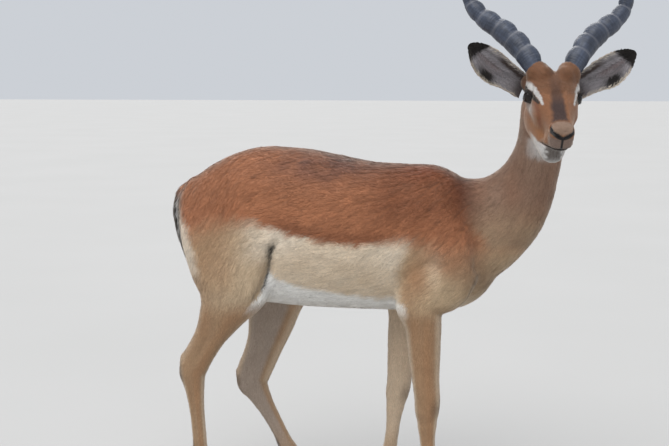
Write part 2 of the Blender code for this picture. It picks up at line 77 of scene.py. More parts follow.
# ------------------------------------------------------------------ body tables
# Trunk: x, height of the widest line, up to the back, down to the belly, half width.
TRUNK = (
    (-0.392, 0.742, 0.034, 0.045, 0.030),
    (-0.378, 0.732, 0.078, 0.083, 0.064),
    (-0.338, 0.720, 0.120, 0.112, 0.095),
    (-0.268, 0.705, 0.177, 0.152, 0.114),
    (-0.190, 0.700, 0.206, 0.176, 0.124),
    (-0.100, 0.700, 0.206, 0.187, 0.134),
    (0.000, 0.700, 0.191, 0.190, 0.140),
    (0.100, 0.700, 0.172, 0.191, 0.134),
    (0.190, 0.700, 0.168, 0.190, 0.120),
    (0.255, 0.700, 0.165, 0.186, 0.108),
    (0.318, 0.700, 0.134, 0.180, 0.094),
    (0.364, 0.695, 0.098, 0.148, 0.078),
    (0.392, 0.682, 0.060, 0.098, 0.056),
    (0.408, 0.664, 0.030, 0.048, 0.030),
)
# Neck: centre, up to the nape, down to the throat, half width, turn in degrees.
NECK = (
    (0.290, 0.000, 0.715, 0.114, 0.150, 0.075, 0.0),
    (0.346, 0.000, 0.733, 0.107, 0.146, 0.081, 0.0),
    (0.404, -0.006, 0.763, 0.088, 0.118, 0.075, -8.0),
    (0.450, -0.022, 0.811, 0.071, 0.091, 0.064, -22.0),
    (0.480, -0.050, 0.866, 0.059, 0.070, 0.055, -40.0),
    (0.496, -0.084, 0.920, 0.053, 0.063, 0.051, -58.0),
    (0.503, -0.112, 0.972, 0.052, 0.062, 0.051, -72.0),
    (0.506, -0.136, 1.020, 0.048, 0.060, 0.049, -80.0),
    (0.508, -0.150, 1.050, 0.036, 0.044, 0.040, -80.0),
)
# Head: its own frame has X along the jaw to the nose, Y to its left, Z up, and its
# origin midway between the eyes.
HEAD_AT = (0.523, -0.215, 1.033)
HEAD_YAW, HEAD_PITCH, HEAD_ROLL = -80.0, 20.0, -1.8
# Each: x, height of the widest line, up, down, half width.
SKULL = (
    (-0.106, 0.006, 0.010, 0.026, 0.022),
    (-0.094, 0.006, 0.020, 0.044, 0.040),
    (-0.065, 0.004, 0.033, 0.056, 0.051),
    (-0.030, 0.002, 0.045, 0.064, 0.054),
    (0.000, -0.002, 0.052, 0.066, 0.055),
    (0.030, -0.010, 0.051, 0.060, 0.050),
    (0.060, -0.018, 0.047, 0.054, 0.045),
    (0.090, -0.024, 0.041, 0.046, 0.034),
    (0.120, -0.030, 0.034, 0.038, 0.0275),
    (0.142, -0.034, 0.030, 0.032, 0.0265),
    (0.154, -0.036, 0.025, 0.027, 0.0225),
    (0.160, -0.037, 0.014, 0.016, 0.0130),
)
JAW = (
    (-0.058, -0.050, 0.030, 0.030, 0.035),
    (-0.036, -0.052, 0.036, 0.046, 0.048),
    (0.000, -0.058, 0.036, 0.046, 0.0495),
    (0.040, -0.066, 0.034, 0.039, 0.0415),
    (0.080, -0.072, 0.028, 0.032, 0.0335),
    (0.110, -0.076, 0.022, 0.028, 0.0280),
    (0.130, -0.078, 0.018, 0.023, 0.0215),
    (0.141, -0.078, 0.010, 0.014, 0.0125),
)
JAW_SWING = 0.011  # how far the jaw's tip is swung to the animal's right, as in chewing
# Lumps of the head, for its left side: centre, then half sizes.
LUMPS = {
    "brow": ((-0.006, 0.046, 0.012), (0.029, 0.0165, 0.022)),
    "cheek": ((0.034, 0.030, -0.034), (0.040, 0.012, 0.026)),
    "pedicle": ((-0.026, 0.034, 0.044), (0.027, 0.026, 0.028)),
    "ear_root": ((-0.064, 0.045, 0.010), (0.021, 0.018, 0.022)),
    "pad": ((-0.008, 0.023, 0.042), (0.024, 0.0215, 0.0265)),
    "lip": ((0.116, 0.0155, -0.051), (0.027, 0.0155, 0.0155)),
}
EYE_AT, EYE_RADIUS = (0.000, 0.0472, 0.000), 0.0168
# Horn, in the head's place, turned and rolled with it but not pitched: ahead, left, up.
HORN = (
    (-0.010, 0.037, 0.056),
    (-0.027, 0.057, 0.088),
    (-0.058, 0.082, 0.120),
    (-0.082, 0.113, 0.148),
    (-0.102, 0.147, 0.172),
    (-0.120, 0.173, 0.202),
    (-0.134, 0.183, 0.244),
    (-0.144, 0.188, 0.304),
    (-0.142, 0.182, 0.372),
    (-0.122, 0.168, 0.440),
    (-0.090, 0.153, 0.498),
    (-0.062, 0.144, 0.532),
)
HORN_RADII = (0.0254, 0.0250, 0.0244, 0.0230, 0.0202, 0.0168,
              0.0142, 0.0124, 0.0105, 0.0080, 0.0050, 0.0015)
# Ear: root and tip, in the horn's frame; share of the way out, half width, set down.
EAR_FROM, EAR_TO = (-0.050, 0.052, 0.016), (-0.018, 0.187, 0.108)
EAR_REACH = {-1: 1.0, 1: 0.955}  # the right ear (-1) shows its whole length, the left is turned a little
EAR_SHAPE = ((0.00, 0.026, 0.000), (0.30, 0.0295, 0.003), (0.50, 0.0355, 0.006),
             (0.70, 0.0325, 0.005), (0.85, 0.0230, 0.002), (0.95, 0.0115, 0.000), (1.00, 0.0030, 0.000))
EAR_CUP, EAR_THICK = 0.019, 0.004
# Tail: centre, thickness towards the back, towards the body, half width.
TAIL = (
    (-0.356, 0.0, 0.808, 0.020, 0.020, 0.022),
    (-0.382, 0.0, 0.788, 0.016, 0.020, 0.020),
    (-0.393, 0.0, 0.750, 0.012, 0.020, 0.018),
    (-0.386, 0.0, 0.700, 0.011, 0.020, 0.017),
    (-0.371, 0.0, 0.645, 0.010, 0.018, 0.016),
    (-0.358, 0.0, 0.600, 0.009, 0.013, 0.013),
    (-0.351, 0.0, 0.572, 0.006, 0.007, 0.008),
    (-0.348, 0.0, 0.560, 0.003, 0.003, 0.003),
)
# Legs: joints from the top down, then the share of the way along them, the
# thickness in front and behind, and the half width.
FORE_JOINTS = {
    "right": ((0.335, -0.078, 0.640), (0.228, -0.092, 0.540), (0.241, -0.088, 0.300),
              (0.247, -0.084, 0.100), (0.262, -0.084, 0.040)),
    "left": ((0.310, 0.078, 0.640), (0.172, 0.092, 0.535), (0.150, 0.088, 0.292),
             (0.128, 0.084, 0.100), (0.143, 0.084, 0.040)),
}
FORE_SHAPE = (
    (0.00, 0.040, 0.040, 0.026),
    (0.45, 0.066, 0.066, 0.040),
    (1.00, 0.050, 0.066, 0.037),
    (1.20, 0.045, 0.046, 0.032),
    (1.50, 0.039, 0.039, 0.028),
    (1.75, 0.034, 0.034, 0.025),
    (1.97, 0.032, 0.030, 0.0245),
    (2.12, 0.030, 0.030, 0.0230),
    (2.26, 0.025, 0.026, 0.0195),
    (2.42, 0.0195, 0.021, 0.0162),
    (2.62, 0.0178, 0.018, 0.0150),
    (2.85, 0.0182, 0.020, 0.0158),
    (3.00, 0.0205, 0.025, 0.0185),
    (3.35, 0.0190, 0.022, 0.0170),
    (3.80, 0.0215, 0.024, 0.0195),
    (3.98, 0.0215, 0.024, 0.0200),
    (4.12, 0.0160, 0.018, 0.0150),
)
HIND_JOINTS = {
    "right": ((-0.275, -0.062, 0.770), (-0.214, -0.098, 0.562), (-0.337, -0.092, 0.355),
              (-0.322, -0.084, 0.102), (-0.304, -0.084, 0.040)),
    "left": ((-0.255, 0.062, 0.770), (-0.150, 0.098, 0.546), (-0.234, 0.094, 0.288),
             (-0.132, 0.086, 0.104), (-0.104, 0.086, 0.040)),
}
HIND_SHAPE = (
    (0.00, 0.095, 0.108, 0.040),
    (0.35, 0.108, 0.118, 0.052),
    (0.70, 0.098, 0.114, 0.050),
    (1.00, 0.070, 0.103, 0.045),
    (1.20, 0.053, 0.084, 0.041),
    (1.40, 0.040, 0.064, 0.035),
    (1.60, 0.030, 0.049, 0.028),
    (1.78, 0.028, 0.046, 0.024),
    (1.90, 0.029, 0.046, 0.0225),
    (2.02, 0.029, 0.040, 0.0225),
    (2.14, 0.024, 0.031, 0.0195),
    (2.30, 0.0195, 0.024, 0.0160),
    (2.60, 0.0180, 0.019, 0.0148),
    (2.85, 0.0185, 0.021, 0.0160),
    (3.00, 0.0210, 0.026, 0.0188),
    (3.35, 0.0192, 0.023, 0.0172),
    (3.80, 0.0215, 0.024, 0.0195),
    (3.98, 0.0215, 0.024, 0.0200),
    (4.12, 0.0160, 0.018, 0.0150),
)
HIND_LEFT_FULLER = (  # share of the way, more in front, more behind
    (1.0, 0.000, 0.000), (1.2, 0.010, 0.000), (1.4, 0.019, 0.000), (1.6, 0.021, 0.000),
    (1.8, 0.017, 0.002), (2.0, 0.009, 0.006), (2.2, 0.006, 0.006), (2.5, 0.003, 0.003),
    (2.9, 0.000, 0.000),
)
HOCK_POINT = (0.0223, 0.0225, 0.018)  # the heel bone: behind and above the hock joint, and its size
# Shoulder blade, for the left side: centre, half thicknesses, half width.
BLADE = (
    (0.215, 0.044, 0.836, 0.022, 0.022, 0.012),
    (0.232, 0.062, 0.796, 0.046, 0.052, 0.026),
    (0.262, 0.080, 0.730, 0.054, 0.062, 0.032),
    (0.300, 0.088, 0.660, 0.050, 0.062, 0.031),
    (0.318, 0.086, 0.620, 0.034, 0.040, 0.024),
)
# One claw of a hoof: height, set forward, front, behind, half width.
CLAW = (
    (0.045, 0.000, 0.0090, 0.0110, 0.0050),
    (0.041, 0.001, 0.0160, 0.0175, 0.0088),
    (0.032, 0.003, 0.0215, 0.0218, 0.0106),
    (0.012, 0.008, 0.0300, 0.0245, 0.0114),
    (0.003, 0.010, 0.0325, 0.0250, 0.0114),
    (0.000, 0.010, 0.0315, 0.0240, 0.0106),
)
CLAW_SPREAD = 0.0120
# Coronet band over the two claws: set forward, aside, height, front, behind, half width.
CORONET = (
    (0.000, 0.0, 0.0500, 0.0120, 0.0140, 0.0130),
    (0.000, 0.0, 0.0440, 0.0170, 0.0190, 0.0176),
    (0.001, 0.0, 0.0360, 0.0196, 0.0218, 0.0200),
    (0.002, 0.0, 0.0280, 0.0172, 0.0200, 0.0172),
)
HOOF_BACK = 0.002  # how far a hoof is set back from the last joint
WORD = {1: "left", -1: "right"}


def lin(red, green, blue):
    """A colour as seen, 0 to 255, as linear light."""
    seen = np.array([red, green, blue]) / 255.0
    return np.where(seen <= 0.04045, seen / 12.92, ((seen + 0.055) / 1.055) ** 2.4)


# Colours of the coat.
SADDLE = lin(168, 110, 76)
SADDLE_DEEP = lin(132, 80, 52)
LOIN = lin(94, 66, 62)
SHOULDER_DARK = lin(96, 44, 20)
# dark brown at the ear's root, partly painted shade under the ear
EAR_ROOT_AND_SHADE = lin(88, 68, 60)
HAUNCH = lin(197, 175, 146)
HAUNCH_WARM = lin(168, 132, 98)
FLANK = lin(229, 212, 188)
FLANK_WHITE = lin(234, 222, 204)
BELLY = lin(245, 244, 240)
ARM = lin(196, 172, 140)
# darker tan of the chest, partly painted shade under the neck
CHEST_TAN_AND_SHADE = lin(154, 126, 98)
LEG = lin(168, 140, 110)
LEG_WARM = lin(168, 127, 92)
INNER_GREY = lin(170, 156, 144)
NECK_GREY = lin(150, 124, 106)
NECK_RED = lin(152, 108, 82)
NECK_LOW = lin(174, 148, 120)
FACE = lin(142, 96, 66)
FACE_PALE = lin(143, 96, 59)
NOSE_GREY = lin(146, 124, 108)
BLAZE = lin(54, 40, 40)
WHITE = lin(222, 220, 218)
# grey of the chin's middle, painted shade under the lip; also laid thinly just above the mouth
CHIN = lin(108, 101, 95)
MUZZLE_GREY = lin(132, 120, 114)
BLACK = lin(26, 22, 22)
DARK = lin(58, 40, 34)

rng = np.random.default_rng(SEED)


# ---------------------------------------------------------------------- helpers
def step(low, high, x):
    """Smooth rise from 0 at low to 1 at high; low may be above high."""
    t = np.clip((x - low) / (high - low), 0.0, 1.0)
    return t * t * (3 - 2 * t)


def bump(x, centre, half):
    """A smooth hill of height 1 about a centre."""
    return np.exp(-(((x - centre) / half) ** 2))


def unit(v):
    """Rows scaled to length 1."""
    return v / np.maximum(np.linalg.norm(v, axis=-1, keepdims=True), 1e-12)


def moved(matrix, points):
    """Points carried by a 4 by 4 matrix."""
    m = np.array(matrix)
    return points @ m[:3, :3].T + m[:3, 3]


def turned(matrix, vectors):
    """Directions turned by a 4 by 4 matrix."""
    return vectors @ np.array(matrix)[:3, :3].T


def paint(colour, mask, over):
    """Lays a colour over another where the mask is 1."""
    mask = np.clip(mask, 0.0, 1.0)[:, None]
    return colour * (1 - mask) + over * mask


def lattice(cells, seed):
    """A repeatable number from 0 to 1 for each whole cell."""
    x, y, z = (cells[:, i].astype(np.int64) for i in range(3))
    h = (x * 374761393 + y * 668265263 + z * 2147483647 + seed * 974634777) & 0xFFFFFFFF
    h = ((h ^ (h >> 13)) * 1274126177) & 0xFFFFFFFF
    return ((h ^ (h >> 16)) & 0xFFFFFF) / float(0xFFFFFF)


def noise(points, size, seed=0):
    """Smooth random field, about -1 to 1, whose grains measure size (one or three numbers)."""
    q = points / np.array(size, float)
    base = np.floor(q)
    f = q - base
    f = f * f * (3 - 2 * f)
    total = np.zeros(len(points))
    for dx in (0, 1):
        for dy in (0, 1):
            for dz in (0, 1):
                weight = (f[:, 0] if dx else 1 - f[:, 0]) * (f[:, 1] if dy else 1 - f[:, 1])
                weight = weight * (f[:, 2] if dz else 1 - f[:, 2])
                total += weight * lattice(base + (dx, dy, dz), seed)
    return total * 2 - 1


def smooth(rows, steps):
    """Rows of numbers at uneven stations, joined by a curve through all of them."""
    rows = np.array(rows, float)
    spans = np.linalg.norm(np.diff(rows[:, :3], axis=0), axis=1)
    at = np.concatenate([[0.0], np.cumsum(spans)])
    slopes = np.gradient(rows, at, axis=0)
    out = []
    for i, span in enumerate(spans):
        for t in np.arange(steps) / steps:
            a = (1 + 2 * t) * (1 - t) ** 2
            b = t**2 * (3 - 2 * t)
            c = t * (1 - t) ** 2 * span
            d = t**2 * (t - 1) * span
            out.append(a * rows[i] + b * rows[i + 1] + c * slopes[i] + d * slopes[i + 1])
    out.append(rows[-1])
    return np.array(out)


def new_object(name, points, faces):
    """A mesh object in the scene."""
    mesh = bpy.data.meshes.new(name)
    mesh.from_pydata([tuple(p) for p in points], [], faces)
    mesh.update()
    obj = bpy.data.objects.new(name, mesh)
    bpy.context.scene.collection.objects.link(obj)
    return obj


def grid_faces(rows, columns, closed):
    """Four-sided faces between rows of points, each row joined to itself if closed."""
    last = columns if closed else columns - 1
    return [
        (i * columns + k, i * columns + (k + 1) % columns,
         (i + 1) * columns + (k + 1) % columns, (i + 1) * columns + k)
        for i in range(rows - 1)
        for k in range(last)
    ]


def tube(rings, name):
    """A closed skin through rings that all hold the same number of points."""
    count = len(rings[0])
    faces = grid_faces(len(rings), count, True)
    last = (len(rings) - 1) * count
    faces.append(tuple(range(count))[::-1])
    faces.append(tuple(last + k for k in range(count)))
    obj = new_object(name, np.concatenate(rings), faces)
    face_out(obj)
    return obj


def face_out(obj):
    """Turns all faces of a closed mesh outward."""
    bm = bmesh.new()
    bm.from_mesh(obj.data)
    bmesh.ops.recalc_face_normals(bm, faces=bm.faces)
    bm.to_mesh(obj.data)
    bm.free()


def loft(rows, name, around=40, steps=6, power=2.2, square_to=None):
    """Egg-shaped sections square to a path: x, y, z, up, down, side and, last, turn."""
    rows = np.array(rows, float)
    if rows.shape[1] == 6:
        rows = np.column_stack([rows, np.zeros(len(rows))])
    rows = smooth(rows, steps)
    tangents = np.gradient(rows[:, :3], axis=0)
    if square_to is not None:
        tangents = np.tile(np.array(square_to, float), (len(rows), 1))
    angles = np.arange(around) * 2 * math.pi / around
    across = np.sign(np.cos(angles)) * np.abs(np.cos(angles)) ** (2 / power)
    along = np.sign(np.sin(angles)) * np.abs(np.sin(angles)) ** (2 / power)
    rings = []
    for row, tangent in zip(rows, tangents):
        tangent = tangent / np.linalg.norm(tangent)
        turn = math.radians(row[6])
        side = np.array([-math.sin(turn), math.cos(turn), 0.0])
        side = unit(side - tangent * (side @ tangent))
        up = np.cross(tangent, side)
        height = np.where(along > 0, along * max(row[3], 1e-4), along * max(row[4], 1e-4))
        rings.append(row[:3] + np.outer(across * max(row[5], 1e-4), side) + np.outer(height, up))
    return tube(rings, name)


def level(rows):
    """Rows of a path in the middle plane, without their y, as full rows."""
    return [(x, 0.0, z, up, down, side) for x, z, up, down, side in rows]


def ellipsoid(centre, half_sizes, name):
    """A mass with three half sizes."""
    bm = bmesh.new()
    bmesh.ops.create_icosphere(bm, subdivisions=4, radius=1.0)
    mesh = bpy.data.meshes.new(name)
    bm.to_mesh(mesh)
    bm.free()
    mesh.transform(Matrix.Translation(centre) @ Matrix.Diagonal((*half_sizes, 1.0)))
    obj = bpy.data.objects.new(name, mesh)
    bpy.context.scene.collection.objects.link(obj)
    return obj


def mirrored(row, side):
    """A row of numbers that starts with a place, for the left (1) or the right (-1)."""
    return (row[0], row[1] * side, row[2], *row[3:])


def swung_jaw():
    """Rows of the jaw, set over to the animal's right towards its tip."""
    back, tip = JAW[0][0], JAW[-1][0]
    return [(x, -JAW_SWING * (x - back) / (tip - back), z, up, down, half)
            for x, z, up, down, half in JAW]


def hind_shape(side):
    """The hind leg's shape; the left one is fuller about the hock."""
    if side == "right":
        return HIND_SHAPE
    at, ahead, back = zip(*HIND_LEFT_FULLER)
    return [(share, front + np.interp(share, at, ahead), behind + np.interp(share, at, back), half)
            for share, front, behind, half in HIND_SHAPE]


def along_joints(joints, shape):
    """Rows of a leg, each at its share of the way along the joints."""
    joints = np.array(joints, float)
    rows = []
    for share, front, behind, half in shape:
        k = min(int(share), len(joints) - 2)
        rows.append((*(joints[k] + (joints[k + 1] - joints[k]) * (share - k)), front, behind, half))
    return rows


def fused(objects, name):
    """Joins the meshes of some objects in one, which replaces them."""
    made = bmesh.new()
    for obj in objects:
        made.from_mesh(obj.data)
    mesh = bpy.data.meshes.new(name)
    made.to_mesh(mesh)
    made.free()
    for obj in objects:
        bpy.data.objects.remove(obj, do_unlink=True)
    obj = bpy.data.objects.new(name, mesh)
    bpy.context.scene.collection.objects.link(obj)
    return obj


def settled(obj):
    """Turns the object's modifiers into its mesh."""
    bpy.context.view_layer.update()
    graph = bpy.context.evaluated_depsgraph_get()
    mesh = bpy.data.meshes.new_from_object(obj.evaluated_get(graph))
    obj.modifiers.clear()
    obj.data = mesh
    return obj


def upright_head():
    """The head's place, turned and rolled, before it is pitched."""
    turn = Matrix.Rotation(math.radians(HEAD_YAW), 4, "Z")
    roll = Matrix.Rotation(math.radians(HEAD_ROLL), 4, "X")
    return Matrix.Translation(HEAD_AT) @ turn @ roll


def head_frame():
    """The head's own frame."""
    return upright_head() @ Matrix.Rotation(math.radians(HEAD_PITCH), 4, "Y")


HEAD = head_frame()
HEAD_BACK = HEAD.inverted()
UPRIGHT = upright_head()


def nearest_on(path, points):
    """For each point, its distance to a path of points, share of the way along, foot and direction."""
    path = np.array(path, float)
    best = np.full(len(points), np.inf)
    share = np.zeros(len(points))
    foot = np.zeros((len(points), 3))
    way = np.zeros((len(points), 3))
    width = np.zeros(len(points))
    for i in range(len(path) - 1):
        a, b = path[i], path[i + 1]
        run = b[:3] - a[:3]
        t = np.clip((points - a[:3]) @ run / (run @ run), 0, 1)
        here = a[:3] + t[:, None] * run
        gap = np.linalg.norm(points - here, axis=1)
        nearer = gap < best
        best[nearer] = gap[nearer]
        share[nearer] = i + t[nearer]
        foot[nearer] = here[nearer]
        way[nearer] = run / np.linalg.norm(run)
        if len(a) > 3:
            width[nearer] = a[3] + t[nearer] * (b[3] - a[3])
    return best, share, foot, way, width


# ------------------------------------------------------------------- the regions
def regions():
    """Each part of the body as a path of x, y, z and radius."""
    found = {}
    found["trunk"] = [(x, 0.0, z + (up - down) / 2, 0.3 * (up + down) + 0.4 * half)
                      for x, z, up, down, half in TRUNK[1:-1]]
    found["neck"] = [(x, y, z, 0.5 * (up + down) * 0.5 + half * 0.5)
                     for x, y, z, up, down, half, _ in NECK[1:]]
    line = np.array([(-0.075, 0.0, -0.02), (0.03, 0.0, -0.035), (0.148, 0.0, -0.05)])
    found["head"] = [(*p, r) for p, r in zip(moved(HEAD, line), (0.062, 0.060, 0.034))]
    for side in ("right", "left"):
        for name, joints, radii in (("fore", FORE_JOINTS, (0.050, 0.048, 0.028, 0.021, 0.023)),
                                    ("hind", HIND_JOINTS, (0.105, 0.072, 0.030, 0.021, 0.023))):
            found[name + "_" + side] = [(*p, r) for p, r in zip(joints[side], radii)]
    found["tail"] = [(*row[:3], 0.018) for row in TAIL[1:]]
    return found


REGIONS = regions()
NAMES = list(REGIONS)


class Places:
    """Where each point is on the body: its nearest region and its place in each."""

    def __init__(self, points):
        self.points = points
        self.head = moved(HEAD_BACK, points)
        self.ratio, self.share, self.foot, self.way = [], [], [], []
        for name in NAMES:
            gap, share, foot, way, width = nearest_on(REGIONS[name], points)
            self.ratio.append(gap / width)
            self.share.append(share)
            self.foot.append(foot)
            self.way.append(way)
        self.ratio = np.array(self.ratio)
        soft = np.exp(-7.0 * (self.ratio - self.ratio.min(axis=0)))
        self.weight = soft / soft.sum(axis=0)
        k = NAMES.index("tail")
        tail = step(0.031, 0.024, self.ratio[k] * REGIONS["tail"][0][3]) * step(0.825, 0.800, points[:, 2])
        self.weight = self.weight * (1 - tail)
        self.weight[k] = tail
        self.nearest = np.where(tail > 0.5, k, self.ratio[:k].argmin(axis=0))

    def of(self, name):
        return self.weight[NAMES.index(name)]

    def at(self, name):
        return self.share[NAMES.index(name)]


# ------------------------------------------------------------------ skin's shape
def head_masses():
    """Skull, jaw and the paired lumps of the head, carried to the head's place."""
    masses = [loft(level(SKULL), "skull", power=2.4), loft(swung_jaw(), "jaw", power=2.4)]
    for side in (1, -1):
        for centre, half_sizes in LUMPS.values():
            masses.append(ellipsoid(mirrored(centre, side), half_sizes, "lump"))
    for mass in masses:
        mass.data.transform(HEAD)
    return masses


def heel_bone(joints):
    """The knob of the heel, behind and above the hock."""
    hock, fetlock = Vector(joints[2]), Vector(joints[3])
    down = (fetlock - hock).normalized()
    behind = Vector((0, 1, 0)).cross(down).normalized()
    set_back, set_up, size = HOCK_POINT
    lump = ellipsoid((0, 0, 0), (size * 0.75, size * 0.7, size * 1.5), "heel_bone")
    turn = Vector((0, 0, -1)).rotation_difference(down).to_matrix().to_4x4()
    lump.data.transform(Matrix.Translation(hock + behind * set_back - down * set_up) @ turn)
    return lump


def body_masses():
    """Trunk, neck, shoulder blades, tail and legs."""
    masses = [loft(level(TRUNK), "trunk", around=64, square_to=(1, 0, 0)), loft(NECK, "neck", around=56),
              loft(TAIL, "tail", around=20)]
    for side, sign in (("right", -1), ("left", 1)):
        masses.append(loft([mirrored(r, sign) for r in BLADE], "blade"))
        masses.append(loft(along_joints(FORE_JOINTS[side], FORE_SHAPE), "foreleg"))
        masses.append(loft(along_joints(HIND_JOINTS[side], hind_shape(side)), "hindleg"))
        masses.append(heel_bone(HIND_JOINTS[side]))
    return masses


def make_skin():
    """One closed skin over the whole animal, with finer faces on its head."""
    skin = fused(body_masses() + head_masses(), "skin")
    remesh = skin.modifiers.new("fuse", "REMESH")
    remesh.mode = "VOXEL"
    remesh.voxel_size = VOXEL
    settle = skin.modifiers.new("settle", "SMOOTH")
    settle.factor = 0.5
    settle.iterations = 7
    settled(skin)
    bm = bmesh.new()
    bm.from_mesh(skin.data)
    refine(bm, lambda p: (p[:, 0] > -0.085) & (p[:, 2] > -0.125), HEAD_CUTS)
    refine(bm, near_features, 1)
    bm.to_mesh(skin.data)
    bm.free()
    return skin


def refine(bm, choose, cuts):
    """Splits the edges of the faces whose middles, in the head's frame, are chosen."""
    bm.faces.ensure_lookup_table()
    middles = moved(HEAD_BACK, np.array([f.calc_center_median()[:] for f in bm.faces]))
    edges = {e for i in np.flatnonzero(choose(middles)) for e in bm.faces[i].edges}
    bmesh.ops.subdivide_edges(bm, edges=list(edges), cuts=cuts, use_grid_fill=True)


def near_features(p):
    """Where the head needs its finest faces: round the eyes, and on the muzzle."""
    eye = np.linalg.norm(np.abs(p) * (1, 1, 0) + p * (0, 0, 1) - np.array([0.006, 0.0485, 0.002]), axis=1)
    muzzle = (p[:, 0] > 0.088) & (p[:, 2] > -0.082)
    return (eye < 0.031) | muzzle


def placed(obj, matrix):
    """Moves a finished piece to its place and shades it smooth."""
    obj.data.transform(matrix)
    obj.data.polygons.foreach_set("use_smooth", np.ones(len(obj.data.polygons), bool))
    return obj


def fetched(items, name, width, kind):
    """One property of all items of a mesh, in rows."""
    found = np.empty(len(items) * width, kind)
    items.foreach_get(name, found)
    return found.reshape(-1, width)


def triangles(mesh):
    """The three corners of each triangle."""
    mesh.calc_loop_triangles()
    return fetched(mesh.loop_triangles, "vertices", 3, np.int32)


def places_of(mesh):
    """The place of each point."""
    return fetched(mesh.vertices, "co", 3, np.float32).astype(float)


def edges_of(mesh):
    """The two ends of each edge."""
    return fetched(mesh.edges, "vertices", 2, np.int32)


def normals_of(points, tris):
    """The skin's direction outward at each point."""
    a, b, c = (points[tris[:, i]] for i in range(3))
    face = np.cross(b - a, c - a)
    out = np.zeros_like(points)
    for i in range(3):
        for axis in range(3):
            out[:, axis] += np.bincount(tris[:, i], face[:, axis], len(points))
    return unit(out)


def relaxed(points, edges, mask, rounds):
    """Evens out the points where the mask is 1."""
    degree = np.bincount(edges.ravel(), minlength=len(points))[:, None]
    for _ in range(rounds):
        total = np.zeros_like(points)
        for axis in range(3):
            total[:, axis] = np.bincount(edges[:, 0], points[edges[:, 1], axis], len(points))
            total[:, axis] += np.bincount(edges[:, 1], points[edges[:, 0], axis], len(points))
        points = points + mask[:, None] * 0.5 * (total / np.maximum(degree, 1) - points)
    return points


# Lines of the head, for its left side, in the head's own frame.
NOSTRIL = ((0.139, 0.0235, -0.0160), (0.147, 0.0208, -0.0200), (0.154, 0.0155, -0.0235),
           (0.1595, 0.0088, -0.0275), (0.1615, 0.0000, -0.0322))
PHILTRUM = ((0.163, 0.000, -0.0325), (0.160, 0.000, -0.0450), (0.155, 0.000, -0.0585))
MOUTH = ((0.156, 0.000, -0.0585), (0.148, 0.015, -0.0590), (0.134, 0.0245, -0.0605),
         (0.112, 0.0300, -0.0625), (0.092, 0.0325, -0.0660))
TEAR = ((-0.010, 0.0590, 0.0130), (0.006, 0.0582, 0.0122), (0.016, 0.0508, 0.0100), (0.042, 0.0448, 0.0105),
        (0.064, 0.0380, 0.0085))
STREAK = ((0.050, 0.0435, 0.0060), (0.068, 0.0405, -0.0030),
          (0.081, 0.0362, -0.0190), (0.081, 0.0345, -0.0350))
BROW_PATCH = ((-0.010, 0.0575, 0.0245), (0.008, 0.0520, 0.0255), (0.028, 0.0445, 0.0240),
              (0.048, 0.0388, 0.0205), (0.064, 0.0350, 0.0160), (0.076, 0.0325, 0.0110))
CHEEKBONE = ((-0.030, 0.0540, -0.0260), (0.006, 0.0560, -0.0240), (0.038, 0.0480, -0.0220),
             (0.068, 0.0400, -0.0220))
MASSETER = ((-0.040, 0.0500, -0.040), (-0.030, 0.0480, -0.080), (-0.010, 0.0430, -0.098))
FACE_RIDGES = ((CHEEKBONE, 0.0085, 0.0022), (MASSETER, 0.0130, 0.0018))  # line, half width, height

# The eye's own axes, for the left eye: outward, along the slit to its inner corner, up.
GAZE = unit(np.array([0.42, 0.90, 0.06]))
SLIT = unit(np.array([0.90, -0.42, -0.16]) - GAZE * (np.array([0.90, -0.42, -0.16]) @ GAZE))
LIDWARD = np.cross(GAZE, SLIT) * -1
LIDWARD = LIDWARD if LIDWARD[2] > 0 else -LIDWARD
SLIT_HALF, LID_UP, LID_DOWN = 0.94, 0.60, 0.56  # of the eye's radius
SLIT_LONG, SLIT_TALL = 1.65, 1.75  # powers of the opening's outline: under 2 makes its corners pointed


def mirror_side(points):
    """Points of the head's frame folded onto its left side."""
    return np.column_stack([points[:, 0], np.abs(points[:, 1]), points[:, 2]])


def line_gap(folded, line):
    """Distance to a line of the head, and the share of the way along it."""
    gap, share, *_ = nearest_on(line, folded)
    return gap, share / (len(line) - 1)


def lid_level(u, v):
    """1 on the edge of the opening between the lids, less inside it; in eye radii."""
    tall = np.where(v > 0, LID_UP, LID_DOWN)
    return np.sqrt(np.clip(np.abs(u) / SLIT_HALF, 0, 9) ** SLIT_LONG + np.abs(v / tall) ** SLIT_TALL)


